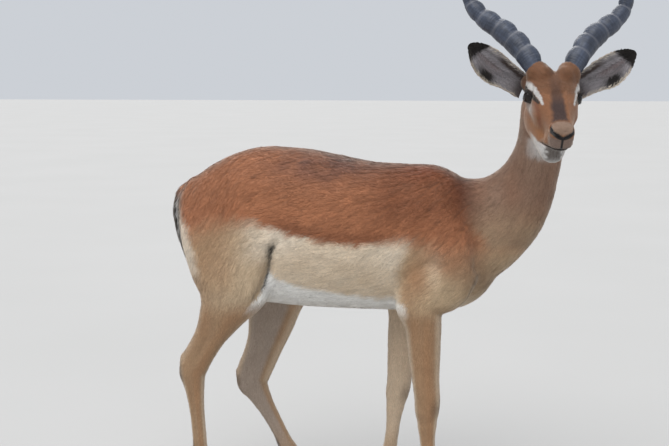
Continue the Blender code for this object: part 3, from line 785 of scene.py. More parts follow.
def sculpt_head(points, normals):
    """Moves the skin's points into the head's finer shapes."""
    q = moved(HEAD_BACK, points)
    unfold = np.where(q[:, 1] < 0, -1.0, 1.0)[:, None] * np.array([0, 1, 0]) + np.array([1, 0, 1])
    f = mirror_side(q)
    x, s, z = f[:, 0], f[:, 1], f[:, 2]
    push = np.zeros(len(f))
    gap, share = line_gap(f, NOSTRIL)
    depth = np.interp(share, (0.0, 0.15, 0.45, 0.7, 0.88, 1.0),
                      (0.0020, 0.0060, 0.0085, 0.0050, 0.0022, 0.0016))
    wide = np.interp(share, (0.0, 0.4, 0.7, 1.0), (0.0020, 0.0036, 0.0026, 0.0014))
    push -= depth * bump(gap, 0, wide)
    push += 0.0016 * bump(gap, 0.0068, 0.0030) * step(0.98, 0.55, share) * step(0.118, 0.132, x)
    gap, _ = line_gap(f, PHILTRUM)
    push -= 0.0016 * bump(gap, 0, 0.0013)
    gap, share = line_gap(f, MOUTH)
    push -= 0.0034 * bump(gap, 0, 0.0017) * step(1.0, 0.9, share)
    push += 0.0016 * bump(gap, 0.0055, 0.0030) * step(0.99, 0.75, share)
    gap, share = line_gap(f, TEAR)
    push -= 0.0016 * bump(gap, 0, 0.0026) * step(1.0, 0.7, share)
    for line, half, height in FACE_RIDGES:
        gap, _ = line_gap(f, line)
        push += height * bump(gap, 0, half)
    push -= 0.0020 * bump(np.linalg.norm(f - (0.098, 0.030, -0.040), axis=1), 0.0, 0.018)  # cheek's hollow
    push += 0.0012 * bump(s, 0.015, 0.006) * step(0.05, 0.08, x) * (z > -0.02)  # edges of the nose bone
    push -= 0.0050 * bump(s, 0, 0.0085) * bump(x, -0.036, 0.018) * (z > 0.02)  # between the horns
    push += 0.0030 * bump(s, 0, 0.0100) * bump(x, 0.006, 0.020) * (z > 0.02)  # middle of the forehead
    push += 0.00035 * noise(q, 0.004, 3) * step(0.09, 0.12, x)  # grain of the muzzle
    push *= step(-0.10, -0.07, x) * step(-0.135, -0.115, z)
    f = f + turned(HEAD_BACK, normals) * unfold * push[:, None]
    return moved(HEAD, fit_lids(f) * unfold)


def fit_lids(f):
    """Wraps the skin round the eyeball, and sinks it inside the opening of the lids."""
    from_eye = f - np.array(EYE_AT)
    far = np.linalg.norm(from_eye, axis=1)
    way = unit(from_eye)
    u, v, w = way @ SLIT, way @ LIDWARD, way @ GAZE
    level_here = lid_level(u, v)
    close = (far < EYE_RADIUS + 0.016) & (w > 0.05)
    lid = EYE_RADIUS + 0.0016
    inside = step(1.03, 0.93, level_here)
    wrap = step(1.75, 1.10, level_here) * step(0.05, 0.30, w)
    aim = far + (lid - far) * wrap
    aim = aim * (1 - inside) + (EYE_RADIUS - 0.0030) * inside
    aim = aim - 0.0010 * bump(level_here, 1.34, 0.08) * (w > 0.2)
    radius = np.where(close, aim, far)
    return np.array(EYE_AT) + way * radius[:, None]


# Folds and swells of the body, as seen from its side: path of x, z; half width; height (or depth).
BODY_LINES = (
    (((-0.122, 0.682), (-0.134, 0.645), (-0.138, 0.612), (-0.150, 0.580), (-0.170, 0.545)), 0.0090, -0.0085),
    (((-0.150, 0.680), (-0.160, 0.640), (-0.168, 0.600), (-0.184, 0.560)), 0.018, 0.0050),
    (((-0.100, 0.715), (-0.106, 0.660), (-0.112, 0.610)), 0.018, -0.0028),
    (((0.168, 0.780), (0.176, 0.700), (0.182, 0.620), (0.196, 0.560)), 0.018, -0.0034),
    (((0.205, 0.830), (0.236, 0.740), (0.262, 0.665)), 0.026, 0.0030),
    (((0.322, 0.835), (0.350, 0.780), (0.362, 0.720)), 0.026, -0.0030),
    (((0.262, 0.655), (0.305, 0.630)), 0.024, 0.0028),
    (((0.300, 0.600), (0.345, 0.615)), 0.016, -0.0020),
    (((0.200, 0.600), (0.212, 0.560)), 0.018, 0.0034),
    (((-0.215, 0.830), (-0.150, 0.820)), 0.026, 0.0028),
    (((-0.262, 0.720), (-0.262, 0.640), (-0.248, 0.580)), 0.024, -0.0026),
    (((-0.335, 0.700), (-0.318, 0.640), (-0.300, 0.590)), 0.016, 0.0022),
)
RIB_SPACING = 0.042


def nearside(points):
    """Side view of both flanks, with the left legs' flesh carried to where the right legs are."""
    x, z = points[:, 0], points[:, 2]
    low = step(0.72, 0.60, z) * (points[:, 1] > 0)
    shift = 0.040 * step(0.02, -0.08, x) - 0.048 * step(0.05, 0.12, x)
    return np.column_stack([x - low * shift, np.zeros(len(x)), z])


def side_line(seen, line):
    """Distance in the side view to a line of x, z, and the share of the way along it."""
    gap, share, *_ = nearest_on([(x, 0.0, z) for x, z in line], seen)
    return gap, share / (len(line) - 1)


def sculpt_body(points, normals):
    """Muscle, fold and rib under the coat."""
    seen = nearside(points)
    x, z = seen[:, 0], seen[:, 2]
    flank = step(0.045, 0.075, np.abs(points[:, 1])) * (z > 0.50)
    push = np.zeros(len(points))
    for line, half, height in BODY_LINES:
        gap, _ = side_line(seen, line)
        push += height * bump(gap, 0, half) * flank
    ribs = np.cos((x + 0.35 * (z - 0.7)) * 2 * math.pi / RIB_SPACING)
    ribs = ribs * step(-0.10, -0.02, x) * step(0.17, 0.12, x)
    push += 0.0006 * ribs * bump(z, 0.68, 0.08) * flank
    push += 0.0010 * noise(points, 0.045, 5) * (points[:, 2] > 0.5)
    push += leg_lines(points)
    fade = step(-0.06, -0.12, moved(HEAD_BACK, points)[:, 0])
    away = np.linalg.norm(moved(HEAD_BACK, points) - (0.02, 0, -0.03), axis=1)
    return points + normals * (push * np.maximum(fade, step(0.14, 0.20, away)))[:, None]


def leg_lines(points):
    """Tendons, joints and hollows of the legs."""
    push = np.zeros(len(points))
    for side in ("right", "left"):
        for joints, hind in ((FORE_JOINTS[side], False), (HIND_JOINTS[side], True)):
            gap, share, foot, *_ = nearest_on(joints, points)
            near = step(0.075, 0.055, gap) * (np.sign(points[:, 1]) == (1 if side == "left" else -1))
            outward = unit(points - foot)
            ahead = outward[:, 0]
            across = np.abs(outward[:, 1])
            groove = bump(ahead, -0.35, 0.22) * step(0.5, 0.8, across)
            push -= near * 0.0022 * groove * step(2.15, 2.35, share) * step(2.95, 2.75, share)
            if hind:
                push -= near * 0.0050 * bump(ahead, -0.30, 0.30) * across * bump(share, 1.72, 0.16)
                push += near * 0.0020 * bump(share, 2.02, 0.07) * across
            else:
                push += near * 0.0016 * bump(share, 1.98, 0.10) * step(0.0, 0.5, ahead)
                push -= near * 0.0014 * bump(share, 2.22, 0.08)
                push -= near * 0.0020 * bump(ahead, -0.2, 0.3) * across * bump(share, 1.5, 0.25)
            push += near * 0.0012 * bump(share, 3.0, 0.10)
            push -= near * 0.0014 * bump(share, 3.45, 0.20)
    return push


# ---------------------------------------------------------------------- markings
# Lines of the markings, and of the painted shade in the flank's fold, in the side view: x, z.
SADDLE_EDGE = ((-0.420, 0.680), (-0.345, 0.700), (-0.285, 0.724), (-0.230, 0.735), (-0.196, 0.737),
               (-0.133, 0.722), (-0.069, 0.708), (-0.005, 0.689), (0.050, 0.684), (0.100, 0.685),
               (0.154, 0.692), (0.200, 0.694), (0.240, 0.672), (0.290, 0.650), (0.340, 0.650),
               (0.400, 0.690))
BELLY_EDGE = ((-0.240, 0.560), (-0.160, 0.640), (-0.131, 0.616), (-0.110, 0.594), (-0.069, 0.577),
              (-0.011, 0.566), (0.056, 0.557), (0.132, 0.551), (0.200, 0.544), (0.300, 0.535))
THIGH_EDGE = ((0.500, -0.205), (0.535, -0.180), (0.562, -0.160), (0.587, -0.149), (0.614, -0.138),
              (0.645, -0.134), (0.671, -0.127), (0.700, -0.130), (0.740, -0.150))  # height, then x
ARM_EDGE = ((0.500, 0.190), (0.545, 0.186), (0.580, 0.176), (0.620, 0.172), (0.660, 0.186), (0.700, 0.210))
PALE_EDGE = ((0.560, -0.296), (0.609, -0.303), (0.673, -0.322), (0.720, -0.341), (0.758, -0.372),
             (0.800, -0.395))  # height, then x
# The flank's fold: black is painted along it as the shade in its crease.
FOLD_LINE = ((-0.126, 0.674), (-0.131, 0.655), (-0.134, 0.640), (-0.137, 0.614), (-0.148, 0.587),
             (-0.162, 0.560))

ARM_SHADES = (  # soft patches of the upper foreleg: x, half length, z, half height, strength, colour
    (0.222, 0.038, 0.615, 0.055, 0.90, LEG_WARM),
    (0.268, 0.018, 0.640, 0.050, 0.40, FLANK),
    (0.188, 0.030, 0.556, 0.036, 0.60, LEG_WARM),
    (0.305, 0.035, 0.640, 0.030, 0.50, LEG_WARM),
    # below the neck: darker tan, partly the hair's colour and partly painted shade under the neck and
    # brisket
    (0.365, 0.055, 0.610, 0.046, 0.95, CHEST_TAN_AND_SHADE),
)


def body_colour(places):
    """Saddle, flank, haunch, upper foreleg, belly, black painted shade in the flank's fold, and the rump's
    stripes.
    """
    p = places.points
    seen = nearside(p)
    x, z, s = seen[:, 0], seen[:, 2], np.abs(p[:, 1])
    rough = noise(p, 0.014, 11) * 0.005 + noise(p, (0.04, 0.04, 0.02), 12) * 0.005
    edge = np.interp(x, *zip(*SADDLE_EDGE)) + rough
    soft = np.interp(x, (-0.42, -0.30, -0.20, -0.13, 0.12, 0.20, 0.26, 0.40),
                     (0.050, 0.040, 0.022, 0.010, 0.011, 0.030, 0.060, 0.070))
    colour = np.tile(FLANK, (len(p), 1))
    colour = paint(colour, (0.3 + 0.3 * noise(p, (0.05, 0.05, 0.03), 15)) * step(0.67, 0.62, z), HAUNCH)
    colour = paint(colour, bump(x, -0.100, 0.050) * step(0.64, 0.70, z) * 0.8, FLANK_WHITE)
    colour = paint(colour, bump(x, 0.165, 0.040) * bump(z, 0.660, 0.035) * 0.5, FLANK_WHITE)
    thigh = np.interp(z, *zip(*THIGH_EDGE)) + rough * 0.4
    behind = thigh - x
    haunch = step(-0.004, 0.006 + 0.05 * step(0.675, 0.72, z), behind)
    colour = paint(colour, haunch, HAUNCH)
    colour = paint(colour, haunch * step(0.10, 0.01, behind) * step(0.62, 0.68, z) * 0.65, FLANK_WHITE)
    warm = step(-0.18, -0.30, x - (z - 0.65) * 0.45) * haunch
    colour = paint(colour, warm * 0.80, HAUNCH_WARM)
    colour = paint(colour, haunch * bump(x, -0.245, 0.035) * bump(z, 0.610, 0.055) * 0.45, HAUNCH_WARM)
    arm = step(-0.010, 0.022, x - np.interp(z, *zip(*ARM_EDGE)))
    colour = paint(colour, arm, ARM)
    for at_x, wide, at_z, tall, strength, tone in ARM_SHADES:
        colour = paint(colour, arm * bump(x, at_x, wide) * bump(z, at_z, tall) * strength, tone)
    colour = paint(colour, arm * step(0.570, 0.530, z) * step(0.30, 0.335, x), FLANK)
    saddle = step(edge - soft, edge + soft, z)
    tone = SADDLE[None] * (1 + 0.10 * noise(p, (0.10, 0.10, 0.04), 13))[:, None]
    colour = paint(colour, saddle, tone)
    along_edge = bump(z - edge, 0.014, 0.015) * step(0.20, 0.10, x) * step(-0.16, -0.08, x)
    colour = paint(colour, saddle * along_edge * 0.6, SADDLE_DEEP)
    colour = paint(colour, saddle * step(0.06, 0.16, x) * step(0.70, 0.78, z) * 0.80, SADDLE_DEEP)
    withers = bump(x, 0.235, 0.065) * step(0.82, 0.87, z)
    colour = paint(colour, withers * 0.8, SADDLE_DEEP * (1.15, 0.75, 0.5))
    wet = bump(z, 0.872, 0.040) * bump(x, 0.005, 0.125) * (0.80 + 0.45 * noise(p, 0.026, 14))
    colour = paint(colour, np.clip(saddle * wet, 0, 1) * 0.95, LOIN)
    dark = bump(z - 0.80 + 0.9 * (x - 0.34), 0.0, 0.055) * bump(x, 0.345, 0.060)
    colour = paint(colour, dark * step(0.66, 0.72, z) * 0.92, SHOULDER_DARK)
    low = np.interp(x, *zip(*BELLY_EDGE)) + rough
    under = step(low + 0.009, low - 0.007, z) * step(0.34, 0.28, x) * step(0.006, -0.002, behind)
    under = under * np.maximum(step(0.016, 0.002, x - np.interp(z, *zip(*ARM_EDGE))), step(0.055, 0.040, s))
    colour = paint(colour, under, BELLY)
    colour = paint(colour, step(0.56, 0.52, z) * step(0.05, 0.03, s) * (x > -0.3) * (x < 0.33), BELLY)
    # Black along the flank's fold: painted shade in the crease.
    gap, share = side_line(seen, FOLD_LINE)
    thin = np.interp(share, (0.0, 0.14, 0.35, 1.0), (0.0085, 0.0055, 0.0038, 0.0034))
    fold = bump(gap, 0, thin) * step(0.05, 0.08, s) * step(1.0, 0.8, share)
    colour = paint(colour, fold * 1.1, BLACK)
    rear = np.interp(z, *zip(*PALE_EDGE)) + rough * 0.8
    pale = step(0.010, -0.022, x - rear) * step(0.575, 0.64, z) * step(0.80, 0.76, z)
    colour = paint(colour, pale * 0.85, FLANK_WHITE)
    colour = paint(colour, pale * step(0.042, 0.034, s), WHITE)
    stripe = step(0.0, -0.015, x - rear) * step(0.570, 0.605, z) * step(0.80, 0.77, z)
    return paint(colour, stripe * bump(s, 0.048, 0.0120), BLACK)


def neck_colour(places):
    """Grey-brown with red in it, warmer ahead and darker low down."""
    p = places.points
    share = places.at("neck")
    tone = np.tile(NECK_GREY, (len(p), 1))
    red = noise(p, (0.04, 0.04, 0.09), 21) * 0.25 + 0.30
    tone = paint(tone, red, NECK_RED)
    i = NAMES.index("neck")
    ahead = ((p - places.foot[i]) @ np.array([0.80, -0.50, 0.0])) / 0.06
    tone = paint(tone, step(0.6, 1.1, ahead) * 0.5, NECK_RED)
    tone = paint(tone, step(-0.2, -1.1, ahead) * step(4.0, 1.0, share) * 0.35, SADDLE)
    return paint(tone, step(0.82, 0.70, p[:, 2]) * (0.8 + 0.2 * noise(p, 0.03, 22)), NECK_LOW)


def leg_colour(places, name):
    """Tan outside with painted rim light on the front and back edges, grey or cream within, and the dark
    marks of the joints.
    """
    p = places.points
    i = NAMES.index(name)
    share = places.share[i]
    out = 1.0 if name.endswith("left") else -1.0
    off = p - places.foot[i]
    radial = unit(off)
    inner = -radial[:, 1] * out
    ahead = radial[:, 0]
    hind = name.startswith("hind")
    colour = np.tile(LEG, (len(p), 1))
    colour = paint(colour, 0.35 + 0.35 * noise(p, (0.03, 0.03, 0.10), 31), LEG_WARM)
    colour = paint(colour, bump(ahead, 0.35, 0.35) * step(0.2, -0.2, inner) * 0.55, LEG_WARM)
    # Paler front and back edges: painted rim light.
    colour = paint(colour, step(0.72, 0.95, np.abs(ahead)) * 0.55, FLANK)
    if hind:
        grey = step(0.05, 0.45, inner) * step(0.80, 0.55, ahead) * step(-0.97, -0.80, ahead)
        colour = paint(colour, grey * step(3.3, 2.5, share) * 0.85, INNER_GREY)
        colour = paint(colour, step(-0.60, -0.85, ahead) * bump(share, 2.86, 0.12), BLACK)
        colour = paint(colour, step(-0.75, -0.95, ahead) * bump(share, 2.03, 0.06) * 0.8, DARK)
    else:
        colour = paint(colour, step(0.15, 0.70, inner) * step(3.2, 2.4, share) * 0.6, FLANK)
        colour = paint(colour, step(0.2, 0.7, ahead) * bump(share, 2.06, 0.10) * 0.35, DARK)
    return paint(colour, step(3.4, 3.95, share) * 0.35, DARK)


STREAK_BROWN = lin(128, 70, 44)  # the soft streak from the tear mark down the side of the face


def head_colour(places):
    """The face: its browns and the blaze, then the marks about the eyes, then the muzzle."""
    q = places.head
    f = mirror_side(q)
    edge = noise(q, 0.006, 42) * 0.0020
    colour = eye_marks(face_browns(q, f, edge), f, edge)
    return muzzle_marks(colour, q, f, edge)


def face_browns(q, f, edge):
    """Cheek, brow and crown, the blaze, the ear's root darkened partly as painted shade, and the grey of the
    nose's bridge.
    """
    x, z = f[:, 0], f[:, 2]
    colour = np.tile(FACE, (len(f), 1))
    colour = paint(colour, 0.30 + 0.30 * noise(q, (0.03, 0.012, 0.012), 41), FACE_PALE * 0.6 + FACE * 0.4)
    cheek = step(-0.010, -0.040, z) * step(0.00, 0.05, x)
    colour = paint(colour, cheek * 0.75, FACE_PALE)
    colour = paint(colour, step(0.01, -0.05, x) * step(0.02, -0.03, z), NECK_RED)
    colour = paint(colour, step(-0.008, 0.020, z) * step(0.075, 0.02, x) * 0.65, FACE * 0.55)
    top = z > -0.03
    strength = np.interp(x, (-0.03, 0.020, 0.045, 0.070, 0.095, 0.132, 0.141),
                         (0.12, 0.30, 0.50, 0.72, 0.95, 0.92, 0.0))
    half = np.interp(x, (-0.03, 0.03, 0.060, 0.090, 0.14), (0.014, 0.0085, 0.0095, 0.0135, 0.0150))
    off_middle = np.abs(q[:, 1] + 0.004)  # the blaze lies a little to the animal's right
    colour = paint(colour, strength * step(half + 0.005, half - 0.005, off_middle + edge) * top, BLAZE)
    colour = paint(colour, bump(np.linalg.norm(f - (-0.040, 0.0, 0.054), axis=1), 0.0, 0.016) * 0.85, DARK)
    # Darker at the ear's root: partly its brown hair, partly painted shade under the ear's base.
    ear_root = bump(np.linalg.norm(f - (-0.062, 0.056, 0.010), axis=1), 0.0, 0.028)
    colour = paint(colour, ear_root * (0.70 + 0.40 * noise(q, (0.004, 0.012, 0.012), 44)), EAR_ROOT_AND_SHADE)
    return paint(colour, step(0.136, 0.142, x) * step(-0.030, -0.018, z) * 0.85, NOSE_GREY)


def eye_marks(colour, f, edge):
    """The white patches over and under the eye, the streak, and the black round it and before it, partly
    painted shade under the brow.
    """
    gap, share = line_gap(f, BROW_PATCH)
    wide = np.interp(share, (0.0, 0.2, 0.45, 0.7, 1.0), (0.0058, 0.0074, 0.0062, 0.0042, 0.0026))
    colour = paint(colour, step(wide * 1.25, wide * 0.70, gap + edge * 0.5), WHITE * 0.88)
    below_eye = np.linalg.norm((f - (0.026, 0.051, -0.020)) / (1.8, 1, 1), axis=1)
    colour = paint(colour, bump(below_eye, 0, 0.013) * 0.75, WHITE * 0.72)
    gap, _ = line_gap(f, STREAK)
    colour = paint(colour, bump(gap, 0, 0.0065) * 0.7, STREAK_BROWN)
    gap, share = line_gap(f, TEAR)
    wide = np.interp(share, (0.0, 0.3, 0.6, 0.8, 1.0), (0.0080, 0.0082, 0.0066, 0.0050, 0.0028))
    colour = paint(colour, step(wide * 1.2, wide * 0.75, gap + edge * 0.5) * 0.97, BLACK)
    # Black above and behind the eye: the lashes and dark skin, with painted shade under the brow.
    lash_and_brow_shade = np.linalg.norm((f - (-0.012, 0.0600, 0.0135)) / (1.75, 1, 0.66), axis=1)
    colour = paint(colour, step(0.0140, 0.0090, lash_and_brow_shade) * 0.97, BLACK)
    return paint(colour, lid_mask(f), BLACK)


def muzzle_marks(colour, q, f, edge):
    """Grey muzzle, white lip and jaw, painted shade under the lip in the middle of the chin, the slit of the
    mouth, the nostrils.
    """
    x, s, z = f[:, 0], f[:, 1], f[:, 2]
    grey = step(0.128, 0.145, x) * step(-0.026, -0.036, z) * (z > -0.062)
    colour = paint(colour, grey * 0.75, MUZZLE_GREY)
    gap, share = line_gap(f, MOUTH)
    above = step(0.012, 0.004, gap) * (z > mouth_height(x)) * step(1.0, 0.8, share)
    colour = paint(colour, above * 0.35, CHIN)
    under = step(0.002, -0.004, z - mouth_height(x)) * step(0.02, 0.07, x)
    jaw = step(-0.094, -0.104, z) * step(-0.06, -0.02, x)
    colour = paint(colour, np.maximum(under, jaw * 0.85), WHITE * 0.80)
    # The chin's middle greyed and streaked: painted shade under the lower lip.
    off_chin = np.abs(q[:, 1] + JAW_SWING * step(0.02, 0.14, x)) + 4 * edge
    middle = under * step(0.019, 0.010, off_chin) * step(0.10, 0.125, x) * step(-0.100, -0.080, z)
    colour = paint(colour, middle * 0.9, CHIN)
    lines = np.sin(q[:, 1] * 900 + 5 * noise(q, 0.012, 43)) * 0.5 + 0.5
    colour = paint(colour, middle * lines * 0.4, DARK)
    slit = np.abs(z - mouth_height(x)) - 0.0012 * step(0.140, 0.150, x)
    thin = np.interp(x, (0.100, 0.140), (0.0014, 0.0026))
    colour = paint(colour, step(thin, thin * 0.35, slit) * step(0.088, 0.112, x) * 0.9, DARK * 0.5)
    gap, share = line_gap(f, NOSTRIL)
    colour = paint(colour, step(1.25, 0.8, gap / nostril_half(share)), BLACK)
    cleft = (x > 0.140) & (z < -0.028) & (z > -0.062)
    return paint(colour, step(0.0032, 0.0016, s) * cleft, BLACK)


def nostril_half(share):
    """Half the height of the nostril's opening along its line."""
    return np.interp(share, (0.0, 0.25, 0.6, 0.85, 1.0), (0.0030, 0.0062, 0.0062, 0.0046, 0.0040))


def mouth_height(x):
    """Height of the lips' line at each place along the head."""
    ahead, _, height = zip(*MOUTH[::-1])
    return np.interp(x, ahead, height)


def lid_mask(f):
    """1 on the bare dark skin round each eye."""
    from_eye = f - np.array(EYE_AT)
    way = unit(from_eye)
    level_here = lid_level(way @ SLIT, way @ LIDWARD)
    near = (np.linalg.norm(from_eye, axis=1) < EYE_RADIUS + 0.012) & (way @ GAZE > 0.15)
    return step(1.24, 1.10, level_here) * near


def bare_mask(f):
    """1 where the face has no hair: nostrils, lips and lids."""
    gap, share = line_gap(f, NOSTRIL)
    bare = step(1.20, 0.95, gap / nostril_half(share))
    gap, _ = line_gap(f, PHILTRUM)
    bare = np.maximum(bare, step(0.0036, 0.0022, gap))
    gap, share = line_gap(f, MOUTH)
    bare = np.maximum(bare, step(0.0030, 0.0018, gap) * step(1.0, 0.95, share))
    return np.maximum(bare, lid_mask(f) > 0.35)


def tail_colour(places):
    """White, with the saddle's red at the root and a black stripe down the back of it."""
    p = places.points
    s = np.abs(p[:, 1])
    i = NAMES.index("tail")
    back = -(p - places.foot[i])[:, 0]
    round_back = back / np.maximum(np.hypot(back, s), 1e-6)
    black = step(0.02, 0.22, round_back) * step(0.560, 0.590, p[:, 2])
    colour = np.tile(WHITE, (len(p), 1))
    colour = paint(colour, step(0.785, 0.81, p[:, 2]), SADDLE)
    return paint(colour, black * step(0.83, 0.79, p[:, 2]), BLACK)


def coat_colours(places):
    """The markings, the same for skin and coat."""
    colour = body_colour(places)
    p = places.points
    low = {}
    for name in NAMES:
        if name.startswith(("fore", "hind")):
            low[name] = places.of(name)
    legs = sum(low.values())
    mix = sum(leg_colour(places, name) * weight[:, None] for name, weight in low.items())
    mix = mix / np.maximum(legs, 1e-6)[:, None]
    below = step(0.56, 0.50, p[:, 2]) * step(0.3, 0.6, legs)
    inner_thigh = step(0.085, 0.060, np.abs(p[:, 1])) * step(0.64, 0.56, p[:, 2]) * (p[:, 0] < -0.16)
    colour = paint(colour, inner_thigh * 0.8, BELLY)
    colour = colour * (1 - below[:, None]) + mix * below[:, None]
    neck = step(0.25, 0.75, places.of("neck") + places.of("head") * 1.5) * step(0.30, 0.40, p[:, 0])
    colour = colour * (1 - neck[:, None]) + neck_colour(places) * neck[:, None]
    q = places.head
    throat = bump(q[:, 0], -0.010, 0.034) * step(-0.098, -0.108, q[:, 2]) * step(-0.165, -0.140, q[:, 2])
    colour = paint(colour, throat * step(0.046, 0.030, np.abs(q[:, 1])) * (q[:, 0] > -0.075), WHITE * 0.97)
    face = step(-0.070, -0.040, q[:, 0]) * step(-0.130, -0.112, q[:, 2]) * step(0.35, 0.6, places.of("head"))
    colour = colour * (1 - face[:, None]) + head_colour(places) * face[:, None]
    tail = step(0.35, 0.60, places.of("tail"))
    return colour * (1 - tail[:, None]) + tail_colour(places) * tail[:, None]


# ------------------------------------------------------------- lie of the coat
WHORL, WHORL_REACH = np.array([0.028, 0.0, 0.044]), 0.040  # where the hair of the forehead parts


def coat_flow(places, normals):
    """The way the hair lies: back along the trunk, down the limbs, nose to nape on the head."""
    p = places.points
    x, z, s = p[:, 0], p[:, 2], np.abs(p[:, 1])
    side = np.sign(p[:, 1])
    flows = {}
    down = np.interp(x, (-0.40, -0.28, -0.16, 0.00, 0.12, 0.22, 0.32),
                     (-1.8, -1.1, -0.45, -0.22, -0.35, -0.9, -1.2))
    down = (down + 0.30 * noise(p, (0.07, 0.07, 0.05), 16)) * step(0.0, 0.06, s)
    down = np.where(z < 0.58, down * 0.2, down)
    flows["trunk"] = np.column_stack([-np.ones(len(p)), side * 0.10 * step(0.80, 0.90, z), down])
    i = NAMES.index("neck")
    flows["neck"] = -places.way[i] + np.array([0.0, 0.0, -0.15])
    flows["head"] = turned(HEAD, face_flow(places.head))
    for name in NAMES:
        if name.startswith(("fore", "hind")):
            i = NAMES.index(name)
            share = places.share[i]
            back = np.array([-0.55, 0.0, 0.0]) * step(1.3, 0.6, share)[:, None]
            flows[name] = places.way[i] * np.array([0.35, 1, 1]) + back
    flows["tail"] = places.way[NAMES.index("tail")]
    total = sum(unit(flows[name]) * places.of(name)[:, None] for name in NAMES)
    total = total - normals * (total * normals).sum(axis=1)[:, None]
    return unit(total)


def face_flow(q):
    """From the nose to the nape, parting round the whorl on the forehead."""
    f = mirror_side(q)
    sign = np.where(q[:, 1] < 0, -1.0, 1.0)
    sunk = -0.10 - 0.25 * step(0.0, -0.05, f[:, 2])
    base = np.column_stack([-np.ones(len(q)), 0.15 * np.ones(len(q)), sunk])
    away = f - WHORL
    spread = unit(away) * np.array([1.0, 1.0, 0.6])
    near = bump(np.linalg.norm(away, axis=1), 0, WHORL_REACH) * (f[:, 2] > 0)
    flow = base * (1 - near[:, None]) + spread * near[:, None] * 1.3
    muzzle = step(0.12, 0.15, f[:, 0])
    flow = flow * (1 - muzzle[:, None]) + np.array([-0.8, 0.6, -0.3]) * muzzle[:, None]
    flow[:, 1] *= sign
    return flow


def hair_sizes(places):
    """Length, width and height of a tuft at each place, and how close they stand."""
    p = places.points
    x, z = p[:, 0], p[:, 2]
    q = places.head
    f = mirror_side(q)
    length = np.interp(z, (0.05, 0.30, 0.48, 0.56), (0.0075, 0.0080, 0.0100, 0.0150))
    width = np.interp(z, (0.05, 0.30, 0.50, 0.60), (0.0010, 0.0010, 0.0013, 0.0016))
    lift = np.interp(z, (0.05, 0.30, 0.48, 0.56), (0.0011, 0.0012, 0.0016, 0.0022))
    belly = step(0.56, 0.53, z) * step(0.20, 0.10, places.of("fore_left") + places.of("fore_right"))
    length += belly * step(-0.16, -0.10, x) * (z > 0.48) * 0.006
    length += step(0.28, 0.31, x) * step(0.57, 0.54, z) * (z > 0.49) * 0.010  # the brisket
    neck = step(0.4, 0.8, places.of("neck"))
    length += neck * (0.0135 - length) * 0.8
    width += neck * (0.0014 - width)
    lift += neck * (0.0024 - lift)
    on_head = step(0.4, 0.8, places.of("head")) * (q[:, 0] > -0.09)
    face_length = np.interp(f[:, 0], (-0.09, -0.03, 0.04, 0.12, 0.155),
                            (0.0110, 0.0085, 0.0058, 0.0038, 0.0026))
    crown = bump(np.linalg.norm(f - (-0.020, 0.020, 0.060), axis=1), 0, 0.024)
    face_length += crown * 0.005
    length += on_head * (face_length - length)
    width += on_head * (np.interp(f[:, 0], (-0.09, 0.04, 0.15), (0.0013, 0.00095, 0.00065)) - width)
    face_lift = np.interp(f[:, 0], (-0.09, 0.04, 0.15), (0.0018, 0.0010, 0.0006)) + crown * 0.0015
    lift += on_head * (face_lift - lift)
    for k in (NAMES.index("hind_left"), NAMES.index("hind_right")):
        behind = -(p - places.foot[k])[:, 0] / 0.03
        gland = step(0.3, 0.6, behind) * bump(places.share[k], 2.84, 0.12) * step(0.3, 0.6, places.weight[k])
        length += gland * 0.010
        lift += gland * 0.0030
    length += step(0.062, 0.050, z) * 0.006  # the fringe over the hooves
    tail = step(0.4, 0.7, places.of("tail"))
    length += tail * (0.034 - length)
    width += tail * (0.0016 - width)
    lift += tail * (0.0045 - lift)
    return length, width, lift


CHART_GRID = 3  # cells across and up
EAR_CELL = 8  # the cell after those of the regions
CELL_EDGE = 0.03  # share of a cell kept free at each side


def chart(places, name):
    """Place on the skin's unwrap: one cell per part, its length up and its girth across."""
    i = NAMES.index(name)
    off = places.points - places.foot[i]
    way = places.way[i]
    side = np.array([0.0, 1.0, 0.0]) if name != "head" else turned(HEAD, np.array([[0.0, 1.0, 0.0]]))[0]
    side = unit(side - way * (way @ side)[:, None])
    up = np.cross(way, side)
    angle = np.arctan2((off * side).sum(axis=1), (off * up).sum(axis=1)) / (2 * math.pi) + 0.5
    along = places.share[i] / (len(REGIONS[name]) - 1)
    return chart_cell(i, angle, along)


def chart_cell(index, across, along):
    """Places, 0 to 1 both ways, within one cell of the unwrap."""
    column, row = index % CHART_GRID, index // CHART_GRID
    inside = 1 - 2 * CELL_EDGE
    u = (column + CELL_EDGE + inside * across) / CHART_GRID
    v = (row + CELL_EDGE + inside * along) / CHART_GRID
    return np.column_stack([u, v])


def cells_of(places, nearest):
    """Place of each tuft on the unwrap, in the cell of the part that it grows on."""
    cell = np.zeros((len(nearest), 2))
    for i, region in enumerate(NAMES):
        mine = nearest == i
        if mine.any():
            cell[mine] = chart(places, region)[mine]
    return cell


# ------------------------------------------------------------------------ tufts
PATCH = 0.003  # size of a tuft on the unwrap
ROOT_TONE = 0.92  # how dark a tuft is at its root
LEAST_LIFT = 0.0005  # least height of a tuft on the body
TAPER = (0.75, 1.0, 0.8, 0.6, 0.4)  # width of a tuft at each station
LENGTHS, WIDTHS, LIFTS = (0.70, 1.25), (0.75, 1.30), (0.45, 1.25)  # how much tufts differ in size
TWIST, ROLL, BEND, TONES = 0.20, 0.22, 0.10, 0.055  # and in direction, roll, bend and tone


